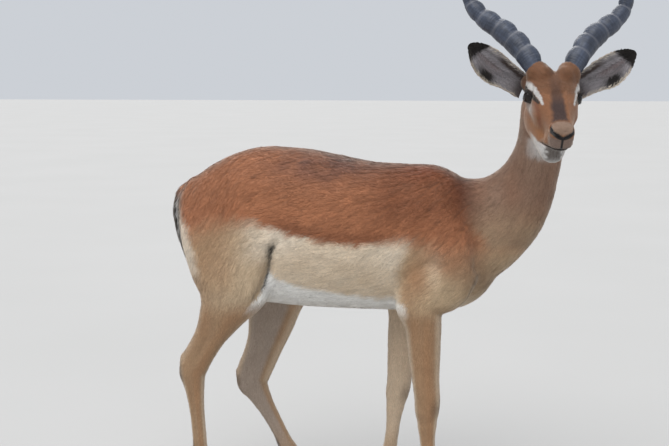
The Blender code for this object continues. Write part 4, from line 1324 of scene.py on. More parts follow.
def blades(name, roots, normals, flows, length, width, lift, colour, cell, ground,
           stations=3, tip_tone=1.10):
    """One mesh of thin tapering tufts that lie along the ground (a tree of the skin)."""
    count = len(roots)
    shares = np.linspace(0.0, 1.0, stations)
    twist = rng.normal(0.0, TWIST, count)
    side = np.cross(normals, flows)
    flows = unit(flows * np.cos(twist)[:, None] + side * np.sin(twist)[:, None])
    side = np.cross(normals, flows)
    length = length * rng.uniform(*LENGTHS, count)
    width = width * rng.uniform(*WIDTHS, count)
    lift = lift * rng.uniform(*LIFTS, count)
    roll = rng.normal(0.0, ROLL, count)
    bend = rng.normal(0.0, BEND, count)
    rows, tones, leans = [], [], []
    tone = rng.normal(1.0, TONES, count)
    for k, t in enumerate(shares):
        at = roots + flows * (length * t)[:, None] + side * (bend * length * t * t)[:, None]
        over = normals
        if ground is not None and k > 0:
            found = [ground.find_nearest(Vector(a)) for a in at]
            at = np.array([hit[0][:] for hit in found])
            over = unit(np.array([hit[1][:] for hit in found]))
        rise = lift * (t ** 0.75) - 0.0006 * (1 - t)
        at = at + over * rise[:, None]
        across = unit(np.cross(over, flows))
        across = unit(across + over * roll[:, None])
        half = width * 0.5 * TAPER[min(k, 4)]
        shade = (tone * (ROOT_TONE + (tip_tone - ROOT_TONE) * t))[:, None] * colour
        lean = unit(over + across * (roll * 0.5)[:, None] + flows * (0.10 - 0.25 * t))
        edges = [at - across * half[:, None], at + across * half[:, None]] if k < stations - 1 else [at]
        rows += edges
        tones += [shade] * len(edges)
        leans += [lean] * len(edges)
    pattern = blade_faces(stations)
    per = 2 * stations - 1
    faces = (np.arange(count)[:, None, None] * per + pattern[None]).reshape(-1, 3)
    local = [((j % 2) - 0.5 if j < per - 1 else 0.0, shares[j // 2] - 0.5) for j in range(per)]
    local = np.array(local) * PATCH
    uv = (cell[:, None, :] + local[None])[:, pattern.ravel(), :].reshape(-1, 2)
    obj = array_object(name, in_turn(rows), faces)
    set_colours(obj.data, in_turn(tones))
    layer = obj.data.uv_layers.new(name="OFBake")
    layer.data.foreach_set("uv", uv.astype(np.float32).ravel())
    obj.data.polygons.foreach_set("use_smooth", np.ones(len(faces), bool))
    obj.data.normals_split_custom_set_from_vertices(in_turn(leans))
    return obj


def blade_faces(stations):
    """Triangles of one tuft: two between each pair of stations, one at the tip."""
    pattern = []
    for k in range(stations - 2):
        pattern += [(2 * k + 1, 2 * k, 2 * k + 3), (2 * k + 3, 2 * k, 2 * k + 2)]
    pattern.append((2 * stations - 3, 2 * stations - 4, 2 * stations - 2))
    return np.array(pattern)


def in_turn(columns):
    """Values of each corner of all tufts, put together tuft by tuft."""
    return np.stack(columns, axis=1).reshape(-1, 3)


def array_object(name, points, faces):
    """A triangle mesh straight from arrays."""
    mesh = bpy.data.meshes.new(name)
    mesh.vertices.add(len(points))
    mesh.vertices.foreach_set("co", points.astype(np.float32).ravel())
    mesh.loops.add(len(faces) * 3)
    mesh.loops.foreach_set("vertex_index", faces.astype(np.int32).ravel())
    mesh.polygons.add(len(faces))
    mesh.polygons.foreach_set("loop_start", np.arange(0, len(faces) * 3, 3, dtype=np.int32))
    mesh.update(calc_edges=True)
    obj = bpy.data.objects.new(name, mesh)
    bpy.context.scene.collection.objects.link(obj)
    return obj


def set_colours(mesh, tones):
    """Gives each point its own colour."""
    layer = mesh.color_attributes.new("fur", "FLOAT_COLOR", "POINT")
    values = np.ones((len(tones), 4), np.float32)
    values[:, :3] = np.clip(tones, 0, 1)
    layer.data.foreach_set("color", values.ravel())


def set_numbers(mesh, name, values):
    """Gives each point a number for its material."""
    layer = mesh.attributes.new(name, "FLOAT", "POINT")
    layer.data.foreach_set("value", values.astype(np.float32))


def set_vectors(mesh, name, vectors):
    """Gives each point a direction for its material."""
    layer = mesh.attributes.new(name, "FLOAT_VECTOR", "POINT")
    layer.data.foreach_set("vector", vectors.astype(np.float32).ravel())


LOCK_WIDE, LOCK_LONG = 0.0070, 3.8  # width of a lock of hair, and how many times longer it is


class Locks:
    """Loose locks that the hairs gather into, each with its own tone, height and turn."""

    def __init__(self, points, flows):
        self.points, self.flows = points, flows
        self.tree = KDTree(len(points))
        for i, at in enumerate(points):
            self.tree.insert(at, i)
        self.tree.balance()
        self.tone = rng.normal(0.0, 1.0, len(points))
        self.rise = rng.normal(0.0, 1.0, len(points))
        self.turn = rng.normal(0.0, 0.14, len(points))

    def of(self, roots):
        """For each root its lock, and how far across from the lock's middle it stands."""
        near = np.array([[hit[1] for hit in self.tree.find_n(at, 7)] for at in roots])
        gap = roots[:, None, :] - self.points[near]
        flow = self.flows[near]
        run = (gap * flow).sum(axis=2)
        across = gap - run[..., None] * flow
        far = (run / LOCK_LONG) ** 2 + (across**2).sum(axis=2)
        best = far.argmin(axis=1)
        pick = np.arange(len(roots))
        return near[pick, best], across[pick, best]


class Ground:
    """The finished skin, from which tufts grow."""

    def __init__(self, points, tris, shift):
        self.points, self.tris = points, tris
        self.normals = normals_of(points, tris)
        self.places = Places(points)
        self.colour = coat_colours(self.places)
        self.flow = coat_flow(self.places, self.normals)
        self.sizes = hair_sizes(self.places)
        self.bare = bare_mask(mirror_side(self.places.head)) * (self.places.head[:, 0] > -0.09)
        self.tree = BVHTree.FromPolygons((points + shift).tolist(), tris.tolist())
        self.shift = shift
        a, b, c = (points[tris[:, i]] for i in range(3))
        self.area = np.linalg.norm(np.cross(b - a, c - a), axis=1) / 2
        self.contrast = self.lock_contrast()
        count = int(self.area.sum() / (LOCK_WIDE**2 * LOCK_LONG))
        at, _, flow, _ = self.scatter(np.ones(len(points)), count)
        self.locks = Locks(at, flow)

    def lock_contrast(self):
        """How clearly the locks show: most on the saddle, little on the pale flank and the legs."""
        p = self.points
        x, z = p[:, 0], p[:, 2]
        edge = np.interp(x, *zip(*SADDLE_EDGE))
        saddle = step(edge - 0.02, edge + 0.02, z)
        shown = 0.45 + 0.55 * saddle + 0.35 * saddle * bump(z, 0.87, 0.05) * bump(x, -0.01, 0.13)
        shown = shown * (0.35 + 0.65 * step(0.42, 0.56, z))
        shown = shown * (1 - 0.45 * step(0.4, 0.8, self.places.of("neck")))
        head = step(0.4, 0.8, self.places.of("head"))
        return shown * (1 - head) + head * (0.30 + 0.35 * step(0.0, 0.02, self.places.head[:, 2]))

    def scatter(self, weight, count):
        """Random places on the skin: where, the skin's normal, the lie of the coat, and a mixer."""
        chance = weight[self.tris].mean(axis=1) * self.area
        picked = rng.choice(len(self.tris), count, p=chance / chance.sum())
        r1, r2 = np.sqrt(rng.random(count)), rng.random(count)
        bary = np.column_stack([1 - r1, r1 * (1 - r2), r1 * r2])
        corner = self.tris[picked]

        def mixed(values):
            return np.einsum("ij,ij...->i...", bary, values[corner])

        normals = unit(mixed(self.normals))
        flows = mixed(self.flow)
        flows = unit(flows - normals * (flows * normals).sum(axis=1)[:, None])
        return mixed(self.points), normals, flows, (mixed, corner)

    def sow(self, name, weight, count, stations, tip_tone=1.06):
        """Tufts at random over the faces; weight says how thick they stand at each point."""
        count = max(200, int(count * SHARE))
        roots, normals, flows, (mixed, corner) = self.scatter(weight, count)
        length, width, lift = (mixed(v) for v in self.sizes)
        if SHARE < 1:
            width = width * 1.8
        lock, across = self.locks.of(roots)
        shown = mixed(self.contrast)
        off = np.linalg.norm(across, axis=1) / (LOCK_WIDE / 2)
        # Each lock's own tone, with painted shade darkening it towards its edges, where it meets the next
        # lock.
        tone = 1 + shown * (0.060 * self.locks.tone[lock] + 0.06 - 0.09 * np.minimum(off, 1.6) ** 2)
        lift = lift * (1 + shown * (0.22 * self.locks.rise[lock] + 0.12 - 0.20 * np.minimum(off, 1.5)))
        side = np.cross(normals, flows)
        turn = (self.locks.turn[lock] * shown)[:, None] * side
        flows = unit(flows + turn - across / LOCK_WIDE * 0.45 * shown[:, None])
        colour = mixed(self.colour) * tone[:, None]
        colour = colour * (1 + 0.05 * noise(roots, 0.004, 52))[:, None]
        cell = cells_of(Places(roots), self.places.nearest[corner[:, 0]])
        lift = np.maximum(lift, LEAST_LIFT)
        return blades(name, roots + self.shift, normals, flows, length, width, lift, colour, cell,
                      self.tree, stations, tip_tone)


# ---------------------------------------------------------------------- materials
def new_material(name, **settings):
    """A Principled material, with its tree and its shader."""
    made = bpy.data.materials.new(name)
    made.use_nodes = True
    tree = made.node_tree
    shader = tree.nodes["Principled BSDF"]
    for socket, value in settings.items():
        shader.inputs[socket.replace("_", " ")].default_value = value
    return made, tree, shader


def reckoned(tree, operation, a, b):
    """One sum or product of two sockets."""
    node = tree.nodes.new("ShaderNodeMath")
    node.operation = operation
    tree.links.new(a, node.inputs[0])
    tree.links.new(b, node.inputs[1])
    return node.outputs[0]


def mix_colour(tree, factor, a, b, kind="MIX"):
    """A blend of two colours."""
    node = tree.nodes.new("ShaderNodeMix")
    node.data_type = "RGBA"
    node.blend_type = kind
    put(tree, node.inputs[0], factor)
    put(tree, node.inputs[6], a)
    put(tree, node.inputs[7], b)
    return node.outputs[2]


def put(tree, socket, value):
    """Links a socket, or sets its value."""
    if hasattr(value, "is_linked"):
        tree.links.new(value, socket)
    elif hasattr(value, "__len__"):
        socket.default_value = (*value, 1.0) if len(value) == 3 and socket.type == "RGBA" else value
    else:
        socket.default_value = value


def ramp(tree, value, stops):
    """A colour that follows a value through some stops."""
    node = tree.nodes.new("ShaderNodeValToRGB")
    put(tree, node.inputs["Fac"], value)
    elements = node.color_ramp.elements
    while len(elements) > 1:
        elements.remove(elements[0])
    elements[0].position, elements[0].color = stops[0][0], (*stops[0][1], 1.0)
    for position, colour in stops[1:]:
        elements.new(position).color = (*colour, 1.0)
    return node.outputs["Color"]


def dappled(tree, colour, strength, pattern, low, high):
    """A colour multiplied by a pattern that runs from one tone to another."""
    tones = ramp(tree, pattern, [(0.3, low), (0.7, high)])
    return mix_colour(tree, strength, colour, tones, "MULTIPLY")


def noise_node(tree, scale, stretch=(1, 1, 1), detail=3.0, coords=None):
    """A noise pattern on the object's own places, stretched along its axes."""
    if coords is None:
        coords = tree.nodes.new("ShaderNodeTexCoord").outputs["Object"]
    place = tree.nodes.new("ShaderNodeMapping")
    place.inputs["Scale"].default_value = stretch
    tree.links.new(coords, place.inputs["Vector"])
    pattern = tree.nodes.new("ShaderNodeTexNoise")
    pattern.inputs["Scale"].default_value = scale
    pattern.inputs["Detail"].default_value = detail
    tree.links.new(place.outputs["Vector"], pattern.inputs["Vector"])
    return pattern.outputs["Fac"]


def add_bump(tree, shader, height, strength, distance):
    """Fine relief from a pattern."""
    node = tree.nodes.new("ShaderNodeBump")
    node.inputs["Strength"].default_value = strength
    node.inputs["Distance"].default_value = distance
    tree.links.new(height, node.inputs["Height"])
    tree.links.new(node.outputs["Normal"], shader.inputs["Normal"])


def attribute(tree, name, output="Color"):
    """What the mesh gives its material under a name."""
    node = tree.nodes.new("ShaderNodeAttribute")
    node.attribute_name = name
    return node.outputs[output]


def coat_material():
    """The tufts: their own colours with fine flecks and broad clouds, and a soft sheen."""
    made, tree, shader = new_material("coat", Roughness=0.66, Specular_IOR_Level=0.32, Sheen_Weight=0.50,
                                      Sheen_Roughness=0.45, Sheen_Tint=(1.0, 0.90, 0.78, 1.0))
    fine = noise_node(tree, 260.0, (1, 1, 1), 2.0)
    broad = noise_node(tree, 22.0, (1, 1, 1.6), 3.0)
    colour = attribute(tree, "fur")
    colour = dappled(tree, colour, 0.30, fine, (0.72, 0.70, 0.68), (1.12, 1.10, 1.08))
    colour = dappled(tree, colour, 0.5, broad, (0.86, 0.84, 0.83), (1.08, 1.08, 1.07))
    tree.links.new(colour, shader.inputs["Base Color"])
    add_bump(tree, shader, noise_node(tree, 900.0, (1, 1, 1), 1.0), 0.15, 0.0004)
    return made


def skin_material():
    """Under-coat: the markings, with hair-fine relief along each axis the hair can lie on."""
    made, tree, shader = new_material("skin", Roughness=0.75, Specular_IOR_Level=0.25, Sheen_Weight=0.15)
    lie = tree.nodes.new("ShaderNodeSeparateXYZ")
    tree.links.new(attribute(tree, "lie", "Vector"), lie.inputs["Vector"])
    strands = None
    for axis, stretch in (("X", (0.12, 1, 1)), ("Y", (1, 0.12, 1)), ("Z", (1, 1, 0.12))):
        pattern = noise_node(tree, 420.0, stretch, 2.0)
        weighed = reckoned(tree, "MULTIPLY", pattern, lie.outputs[axis])
        strands = weighed if strands is None else reckoned(tree, "ADD", strands, weighed)
    colour = dappled(tree, attribute(tree, "fur"), 0.5, strands, (0.58, 0.55, 0.53), (1.0, 1.0, 1.0))
    tree.links.new(colour, shader.inputs["Base Color"])
    wet = tree.nodes.new("ShaderNodeMapRange")
    tree.links.new(attribute(tree, "bare", "Fac"), wet.inputs["Value"])
    wet.inputs["To Min"].default_value = 0.75
    wet.inputs["To Max"].default_value = 0.42
    tree.links.new(wet.outputs["Result"], shader.inputs["Roughness"])
    add_bump(tree, shader, strands, 0.5, 0.0012)
    return made


def horn_material():
    """Grey-brown horn with fibres and growth bands along its own run, and worn, paler lips."""
    made, tree, shader = new_material("horn", Roughness=0.42, Specular_IOR_Level=0.5)
    coords = attribute(tree, "run", "Vector")
    fibre = noise_node(tree, 1.0, (260, 260, 22), 4.0, coords)
    blotch = noise_node(tree, 1.0, (30, 30, 18), 3.0, coords)
    base = ramp(tree, blotch, [(0.30, (0.034, 0.043, 0.067)), (0.70, (0.076, 0.095, 0.142))])
    base = dappled(tree, base, 0.8, fibre, (0.60, 0.58, 0.57), (1.20, 1.19, 1.18))
    bands = noise_node(tree, 1.0, (45, 45, 330), 3.0, coords)
    base = dappled(tree, base, 0.8, bands, (0.62, 0.62, 0.64), (1.18, 1.18, 1.18))
    worn = mix_colour(tree, attribute(tree, "crest", "Fac"), base, (0.19, 0.19, 0.21))
    tree.links.new(worn, shader.inputs["Base Color"])
    add_bump(tree, shader, bands, 0.75, 0.0018)
    return made


def hoof_material():
    """Near-black horn with fine upright lines and growth rings."""
    made, tree, shader = new_material("hoof", Roughness=0.38, Specular_IOR_Level=0.5)
    lines = noise_node(tree, 420.0, (1, 1, 0.10), 3.0)
    rings = noise_node(tree, 90.0, (0.15, 0.15, 2.6), 2.0)
    colour = ramp(tree, lines, [(0.3, (0.014, 0.012, 0.011)), (0.75, (0.060, 0.050, 0.044))])
    colour = dappled(tree, colour, 0.4, rings, (0.6, 0.6, 0.6), (1.4, 1.35, 1.3))
    tree.links.new(colour, shader.inputs["Base Color"])
    add_bump(tree, shader, rings, 0.4, 0.0008)
    return made


def eye_material():
    """Wet and glossy, in the eye's own colours."""
    made, tree, shader = new_material("eye", Roughness=0.06, Specular_IOR_Level=0.35)
    fibre = noise_node(tree, 700.0, (1, 1, 1), 2.0)
    colour = dappled(tree, attribute(tree, "fur"), 0.5, fibre, (0.6, 0.6, 0.6), (1.3, 1.3, 1.3))
    tree.links.new(colour, shader.inputs["Base Color"])
    return made


def lid_material():
    """Dark, damp skin, for the lids and the lashes."""
    made, tree, shader = new_material("lid", Roughness=0.35, Specular_IOR_Level=0.5)
    grain = noise_node(tree, 900.0, (1, 1, 1), 2.0)
    tree.links.new(ramp(tree, grain, [(0.3, (0.010, 0.008, 0.008)), (0.7, (0.030, 0.024, 0.022))]),
                   shader.inputs["Base Color"])
    add_bump(tree, shader, grain, 0.5, 0.0004)
    return made


def floor_material():
    """Plain pale floor, faintly clouded."""
    made, tree, shader = new_material("floor", Roughness=0.85, Specular_IOR_Level=0.2)
    cloud = noise_node(tree, 0.8, (1, 1, 1), 2.0)
    tree.links.new(ramp(tree, cloud, [(0.3, (0.500, 0.498, 0.490)), (0.7, (0.515, 0.512, 0.505))]),
                   shader.inputs["Base Color"])
    return made


# ------------------------------------------------------------------ other parts
HORN_STATIONS, HORN_SIDES = 340, 44
UNROLLED = 0.02  # radius of the straight rod on which the horn's grain is laid out
HORN_RINGS = 13
RING_STEPS = ((0, 3, 5, 9, 13), (0.046, 0.046, 0.034, 0.028, 0.023))  # ring number, room to the next
RING_HIGH, RING_LOW = 0.0060, 0.0014  # ridge height on the inner and upper side, and across from it


def ring_profile(travelled):
    """Height of the rounded rings along the horn, how ringed it is, and each ring's worn lip, all 0 to 1."""
    edges = 0.012 + np.concatenate([[0.0], np.cumsum(np.interp(np.arange(HORN_RINGS), *RING_STEPS))])
    ring = np.clip(np.searchsorted(edges, travelled) - 1, 0, HORN_RINGS - 1)
    phase = np.clip((travelled - edges[ring]) / (edges[ring + 1] - edges[ring]), 0.0, 1.0)
    crest = 1 - 0.85 * np.abs(2 * phase - 1) ** 2.4
    lip = bump(phase, 0.82, 0.07)
    ringed = step(edges[-1] + 0.004, edges[-1] - 0.09, travelled) * step(0.0, 0.020, travelled)
    return crest, ringed, lip


def make_horn(side, shift):
    """A lyre horn with worn rings that stand out most on its inner and upper side."""
    path = smooth([(*p, r) for p, r in zip(HORN, HORN_RADII)], 24)
    spans = np.linalg.norm(np.diff(path[:, :3], axis=0), axis=1)
    travelled = np.concatenate([[0.0], np.cumsum(spans)])
    total = travelled[-1]
    along = np.linspace(0.0, total, HORN_STATIONS)
    path = np.column_stack([np.interp(along, travelled, column) for column in path.T])
    crest, ringed, lip = ring_profile(along)
    slim = np.interp(along, (0.0, 0.04, 0.10), (0.82, 0.90, 1.0))
    path[:, 1] *= side
    angles = np.arange(HORN_SIDES) * 2 * math.pi / HORN_SIDES
    facing = 0.5 + 0.5 * np.cos(angles)
    tangents = unit(np.gradient(path[:, :3], axis=0))
    rings, runs, crests = [], [], []
    for k in range(HORN_STATIONS):
        tangent, rise = tangents[k], float(step(0.08, 0.28, along[k]))
        keel_way = np.array([0.25 + 0.60 * rise, (-0.62 + 0.15 * rise) * side, 0.72 - 0.45 * rise])
        keel = unit(keel_way - tangent * (keel_way @ tangent))
        other = np.cross(tangent, keel)
        size = path[k, 3] / HORN_RADII[0]
        ridge = (RING_LOW * (1 + rise) + RING_HIGH * facing**1.4) * ringed[k] * (0.35 + 0.65 * size)
        climb = np.full(HORN_SIDES, along[k] / UNROLLED)
        run = np.column_stack([np.cos(angles), np.sin(angles), climb]) * UNROLLED
        grain = 0.0007 * noise(run, (0.006, 0.006, 0.009), 61) * (0.3 + 0.7 * ringed[k])
        lines = 0.0003 * np.sin(along[k] * 2 * math.pi / 0.0052 + 1.5 * noise(run, 0.012, 62))
        radius = path[k, 3] * slim[k] * (1 + 0.04 * np.cos(2 * angles)) + ridge * (crest[k] - 0.60)
        radius = np.maximum(radius + grain + lines * step(0.45, 0.10, along[k]), 0.0006)
        round_it = np.outer(np.cos(angles) * radius, keel) + np.outer(np.sin(angles) * radius, other)
        rings.append(path[k, :3] + round_it)
        runs.append(run)
        crests.append(np.clip(lip[k] * (0.25 + 0.75 * facing) * ringed[k] * 0.6, 0, 1))
    obj = tube(rings, f"horn_{WORD[side]}_piece")
    set_vectors(obj.data, "run", np.concatenate(runs))
    set_numbers(obj.data, "crest", np.concatenate(crests))
    return placed(obj, Matrix.Translation(shift) @ UPRIGHT)


def ear_axes(side):
    """The ear's root, its axes along, forward and across, and its length."""
    root, tip = np.array(EAR_FROM), np.array(EAR_TO)
    along = unit(tip - root)
    facing = np.array([1.0, -0.10, -0.10])
    facing = unit(facing - along * (facing @ along))
    return root, along, facing, np.cross(facing, along), np.linalg.norm(tip - root) * EAR_REACH[side]


def ear_point(side, s, c, lift=0.0):
    """A place on the ear's middle sheet, as on the left: s out to the tip, c across from -1 to 1 (lower)."""
    root, along, facing, across, length = ear_axes(side)
    shape = np.array(EAR_SHAPE)
    fine = smooth(np.column_stack([shape[:, 0], np.zeros((len(shape), 2)), shape[:, 1:]]), 6)
    half = np.interp(s, fine[:, 0], fine[:, 3])
    down = np.interp(s, fine[:, 0], fine[:, 4])
    cup = EAR_CUP * (1 - 0.6 * s) * np.minimum(1.0, 40 * half)
    bend = cup * (1 - c * c)
    ridge = 0.0022 * bump(c, 0.05, 0.16) * step(0.2, 0.45, s) * step(0.92, 0.75, s)
    folds = 0.0008 * np.sin(c * 13.0) * step(0.15, 0.35, s) * step(0.95, 0.8, s)
    at = root + np.outer(s * length, along) - across * (c * half + down)[:, None]
    return at + facing * (-bend + ridge + folds + lift)[:, None]


EAR_RANKS, EAR_COLUMNS = 56, 33


def make_ear(side, shift):
    """The ear's gristle: two sheets joined round the rim, cupped forward."""
    s, c = np.meshgrid(np.linspace(0, 1, EAR_RANKS), np.linspace(-1, 1, EAR_COLUMNS), indexing="ij")
    s, c = s.ravel(), c.ravel()
    thick = EAR_THICK * 0.5 * np.sqrt(np.clip(1 - np.abs(c) ** 6, 0.02, 1)) * step(1.01, 0.93, s)
    front, back = ear_point(side, s, c, thick), ear_point(side, s, c, -thick)
    count = EAR_RANKS * EAR_COLUMNS
    sheet = grid_faces(EAR_RANKS, EAR_COLUMNS, False)
    faces = sheet + [tuple(i + count for i in f[::-1]) for f in sheet]
    edge = [i * EAR_COLUMNS for i in range(EAR_RANKS)]
    edge += [(EAR_RANKS - 1) * EAR_COLUMNS + k for k in range(1, EAR_COLUMNS)]
    edge += [i * EAR_COLUMNS + EAR_COLUMNS - 1 for i in range(EAR_RANKS - 2, -1, -1)]
    edge += [k for k in range(EAR_COLUMNS - 2, 0, -1)]
    faces += [(a, b, b + count, a + count) for a, b in zip(edge, edge[1:] + edge[:1])]
    points = np.concatenate([front, back])
    colour = np.concatenate([ear_colour(s, c, True), ear_colour(s, c, False)])
    points[:, 1] *= side
    obj = new_object(f"ear_{WORD[side]}_piece", points, faces)
    face_out(obj)
    set_colours(obj.data, colour * 0.8)
    set_vectors(obj.data, "lie", np.tile([0.3, 0.8, 0.5], (len(points), 1)))
    set_numbers(obj.data, "bare", np.zeros(len(points)))
    return placed(obj, Matrix.Translation(shift) @ UPRIGHT)


# pale hair inside the ear, greyed as painted shade
EAR_INSIDE_SHADED = lin(152, 148, 152)
EAR_PINK = lin(112, 92, 90)
EAR_BACK = lin(168, 124, 88)


def ear_colour(s, c, inside):
    """Black tip, pale hair inside greyed as painted shade, with a pinkish furrow, a black patch on the lower
    edge, and pale rims brightened partly as painted rim light.
    """
    tip = step(0.76, 0.82, s + 0.05 * np.clip(-c, -1, 1))
    if not inside:
        colour = np.tile(EAR_BACK, (len(s), 1))
        # Pale rim: partly pale edge hair, partly painted rim light.
        colour = paint(colour, step(0.84, 0.98, np.abs(c)) * 0.6, FLANK_WHITE)
        return paint(colour, tip, BLACK)
    streaks = 1 + 0.22 * np.sin(c * 26.0 + 2.0 * np.sin(s * 9.0))
    colour = np.tile(EAR_INSIDE_SHADED, (len(s), 1)) * streaks[:, None]
    furrow = bump(c, -0.10, 0.20) * step(0.30, 0.45, s) * step(0.86, 0.74, s)
    colour = paint(colour, furrow * 0.8, EAR_PINK)
    second = bump(c, 0.38, 0.10) * step(0.35, 0.50, s) * step(0.80, 0.68, s)
    colour = paint(colour, second * 0.5, EAR_PINK)
    patch = bump(s, 0.52, 0.13) * step(0.42, 0.62, c)
    colour = paint(colour, patch * 1.35 * step(1.0, 0.95, c), BLACK)
    strip = step(-0.45, -0.66, c) * step(0.58, 0.42, s) * step(-0.97, -0.90, c)
    colour = paint(colour, strip * 0.9, DARK)
    colour = paint(colour, step(0.16, 0.02, s) * 0.7, DARK)
    # Pale rim: partly pale edge hair, partly painted rim light.
    colour = paint(colour, step(0.94, 0.99, np.abs(c)) * 0.9, FLANK_WHITE)
    return paint(colour, tip, BLACK)


# Hair of an ear: how many tufts, their length, width and height, and their stations.
EAR_HAIR = {
    "back": (5200, 0.0060, 0.0012, 0.0011, 3),
    "inside": (5200, 0.0110, 0.0008, 0.0024, 4),
    "rim": (2200, 0.0044, 0.0006, 0.0010, 3),
}
NEARBY = 0.01  # step over which the ear's slopes are measured


def ear_tufts(side, shift):
    """Hair of one ear: short and flat behind, longer in rows inside, a fringe on the rim."""
    facing = ear_axes(side)[2]
    sets = []
    for kind, (count, long, wide, high, _) in EAR_HAIR.items():
        count = max(150, int(count * SHARE))
        s = rng.uniform(0.02, 0.985, count) ** 0.9
        c = rng.uniform(-0.99, 0.99, count)
        if kind == "rim":
            c = np.sign(rng.uniform(-1, 1, count)) * rng.uniform(0.93, 1.0, count)
        front = kind != "back"
        here = ear_point(side, s, c)
        ds = unit(ear_point(side, np.minimum(s + NEARBY, 1.0), c) - ear_point(side, s - NEARBY, c))
        dc = unit(ear_point(side, s, np.minimum(c + NEARBY, 1.0)) - ear_point(side, s, c - NEARBY))
        normal = unit(np.cross(ds, dc))
        normal = normal * np.sign((normal * facing).sum(axis=1))[:, None]
        if not front:
            normal = -normal
        flow = ds.copy()
        if kind == "inside":
            flow = unit(ds * 0.8 - dc * np.sign(c)[:, None] * 0.55)
        if kind == "rim":
            flow = unit(ds * 0.75 + dc * np.sign(c)[:, None] * 0.25 + normal * 0.1)
        half = np.interp(s, [r[0] for r in EAR_SHAPE], [r[1] for r in EAR_SHAPE])
        shrink = np.clip(half / 0.030, 0.25, 1.0)
        colour = ear_colour(s, c, front)
        roots = here + normal * (EAR_THICK * 0.35)
        for v in (roots, normal, flow):
            v[:, 1] *= side
        to_row = Matrix.Translation(shift) @ UPRIGHT
        cell = chart_cell(EAR_CELL, np.clip((c + 1) / 4 + (0.5 if front else 0.0), 0, 1), s)
        sets.append((kind, moved(to_row, roots), turned(to_row, normal), turned(to_row, flow),
                     long * shrink, np.full(count, wide), high * shrink, colour, cell))
    return [blades(f"coat_ear_{WORD[side]}_{kind}", *rest, None, EAR_HAIR[kind][-1], 1.15)
            for kind, *rest in sets]


EYE_RINGS, EYE_SPOKES = 40, 48
PUPIL, IRIS = (0.34, 0.20), 0.74  # half sizes, as shares of the eye's radius
EYE_BROWN, EYE_DARK, EYE_BLACK = lin(26, 17, 13), lin(13, 10, 9), lin(7, 6, 7)


def make_eye(side, shift):
    """A dark eyeball with a bulging cornea and a level, oval pupil."""
    spokes = EYE_SPOKES
    polar = np.linspace(0.0, math.pi, EYE_RINGS)[1:-1]
    angles = np.arange(spokes) * 2 * math.pi / spokes
    points, tones = [], []
    for phi in np.concatenate([[0.0], polar, [math.pi]]):
        radius = EYE_RADIUS + 0.0007 * float(step(0.75, 0.35, np.array(phi)))
        count = 1 if phi in (0.0, math.pi) else spokes
        for a in angles[:count]:
            u, v, w = math.sin(phi) * math.cos(a), math.sin(phi) * math.sin(a), math.cos(phi)
            points.append(np.array(EYE_AT) + radius * (u * SLIT + v * LIDWARD + w * GAZE))
            pupil = (u / PUPIL[0]) ** 2 + (v / PUPIL[1]) ** 2
            iris = math.sin(phi) < IRIS
            tone = EYE_BROWN if iris and w > 0 else EYE_DARK
            tones.append(EYE_BLACK if pupil < 1 and w > 0 else tone)
    faces = [(0, 1 + k, 1 + (k + 1) % spokes) for k in range(spokes)]
    inner = len(polar)
    for i in range(inner - 1):
        for k in range(spokes):
            a, b = 1 + i * spokes + k, 1 + i * spokes + (k + 1) % spokes
            faces.append((a, a + spokes, b + spokes, b))
    last = 1 + inner * spokes
    rim = last - spokes
    faces += [(last, rim + (k + 1) % spokes, rim + k) for k in range(spokes)]
    points = np.array(points)
    points[:, 1] *= side
    obj = new_object(f"eye_{WORD[side]}_piece", points, faces)
    face_out(obj)
    set_colours(obj.data, np.array(tones))
    return placed(obj, Matrix.Translation(shift) @ HEAD)


def lid_edge(angle, swell=1.0):
    """A place on the lids' edge as a direction from the eye's centre."""
    u = SLIT_HALF * np.sign(np.cos(angle)) * np.abs(np.cos(angle)) ** (2 / SLIT_LONG)
    tall = np.where(np.sin(angle) > 0, LID_UP, LID_DOWN)
    v = tall * np.sign(np.sin(angle)) * np.abs(np.sin(angle)) ** (2 / SLIT_TALL)
    u, v = u * swell, v * swell
    w = np.sqrt(np.clip(1 - u * u - v * v, 0.02, 1))
    return unit(np.outer(u, SLIT) + np.outer(v, LIDWARD) + np.outer(w, GAZE))


LID_POINTS = 96  # round the opening
LID_ROLL = ((0.95, -0.0006), (0.95, 0.0005), (0.970, 0.0012), (1.00, 0.0018), (1.04, 0.0020),
            (1.08, 0.0018), (1.11, 0.0012), (1.12, -0.0010))  # size of the edge, height over the eyeball


def make_lids(side, shift):
    """The dark rims of the lids: a soft roll that lies on the eyeball and on the skin."""
    count = LID_POINTS
    angles = np.arange(count) * 2 * math.pi / count
    rings = [np.array(EYE_AT) + lid_edge(angles, swell) * (EYE_RADIUS + rise) for swell, rise in LID_ROLL]
    faces = grid_faces(len(rings), count, True)
    last = (len(rings) - 1) * count
    faces += [(last + k, last + (k + 1) % count, (k + 1) % count, k) for k in range(count)]
    points = np.concatenate(rings)
    points[:, 1] *= side
    obj = new_object(f"lids_{WORD[side]}", points, faces)
    face_out(obj)
    return placed(obj, Matrix.Translation(shift) @ HEAD)


LASH_LONG, LASH_WIDE = (0.0100, 0.0028), 0.0006  # length of the upper and the lower lashes, and width


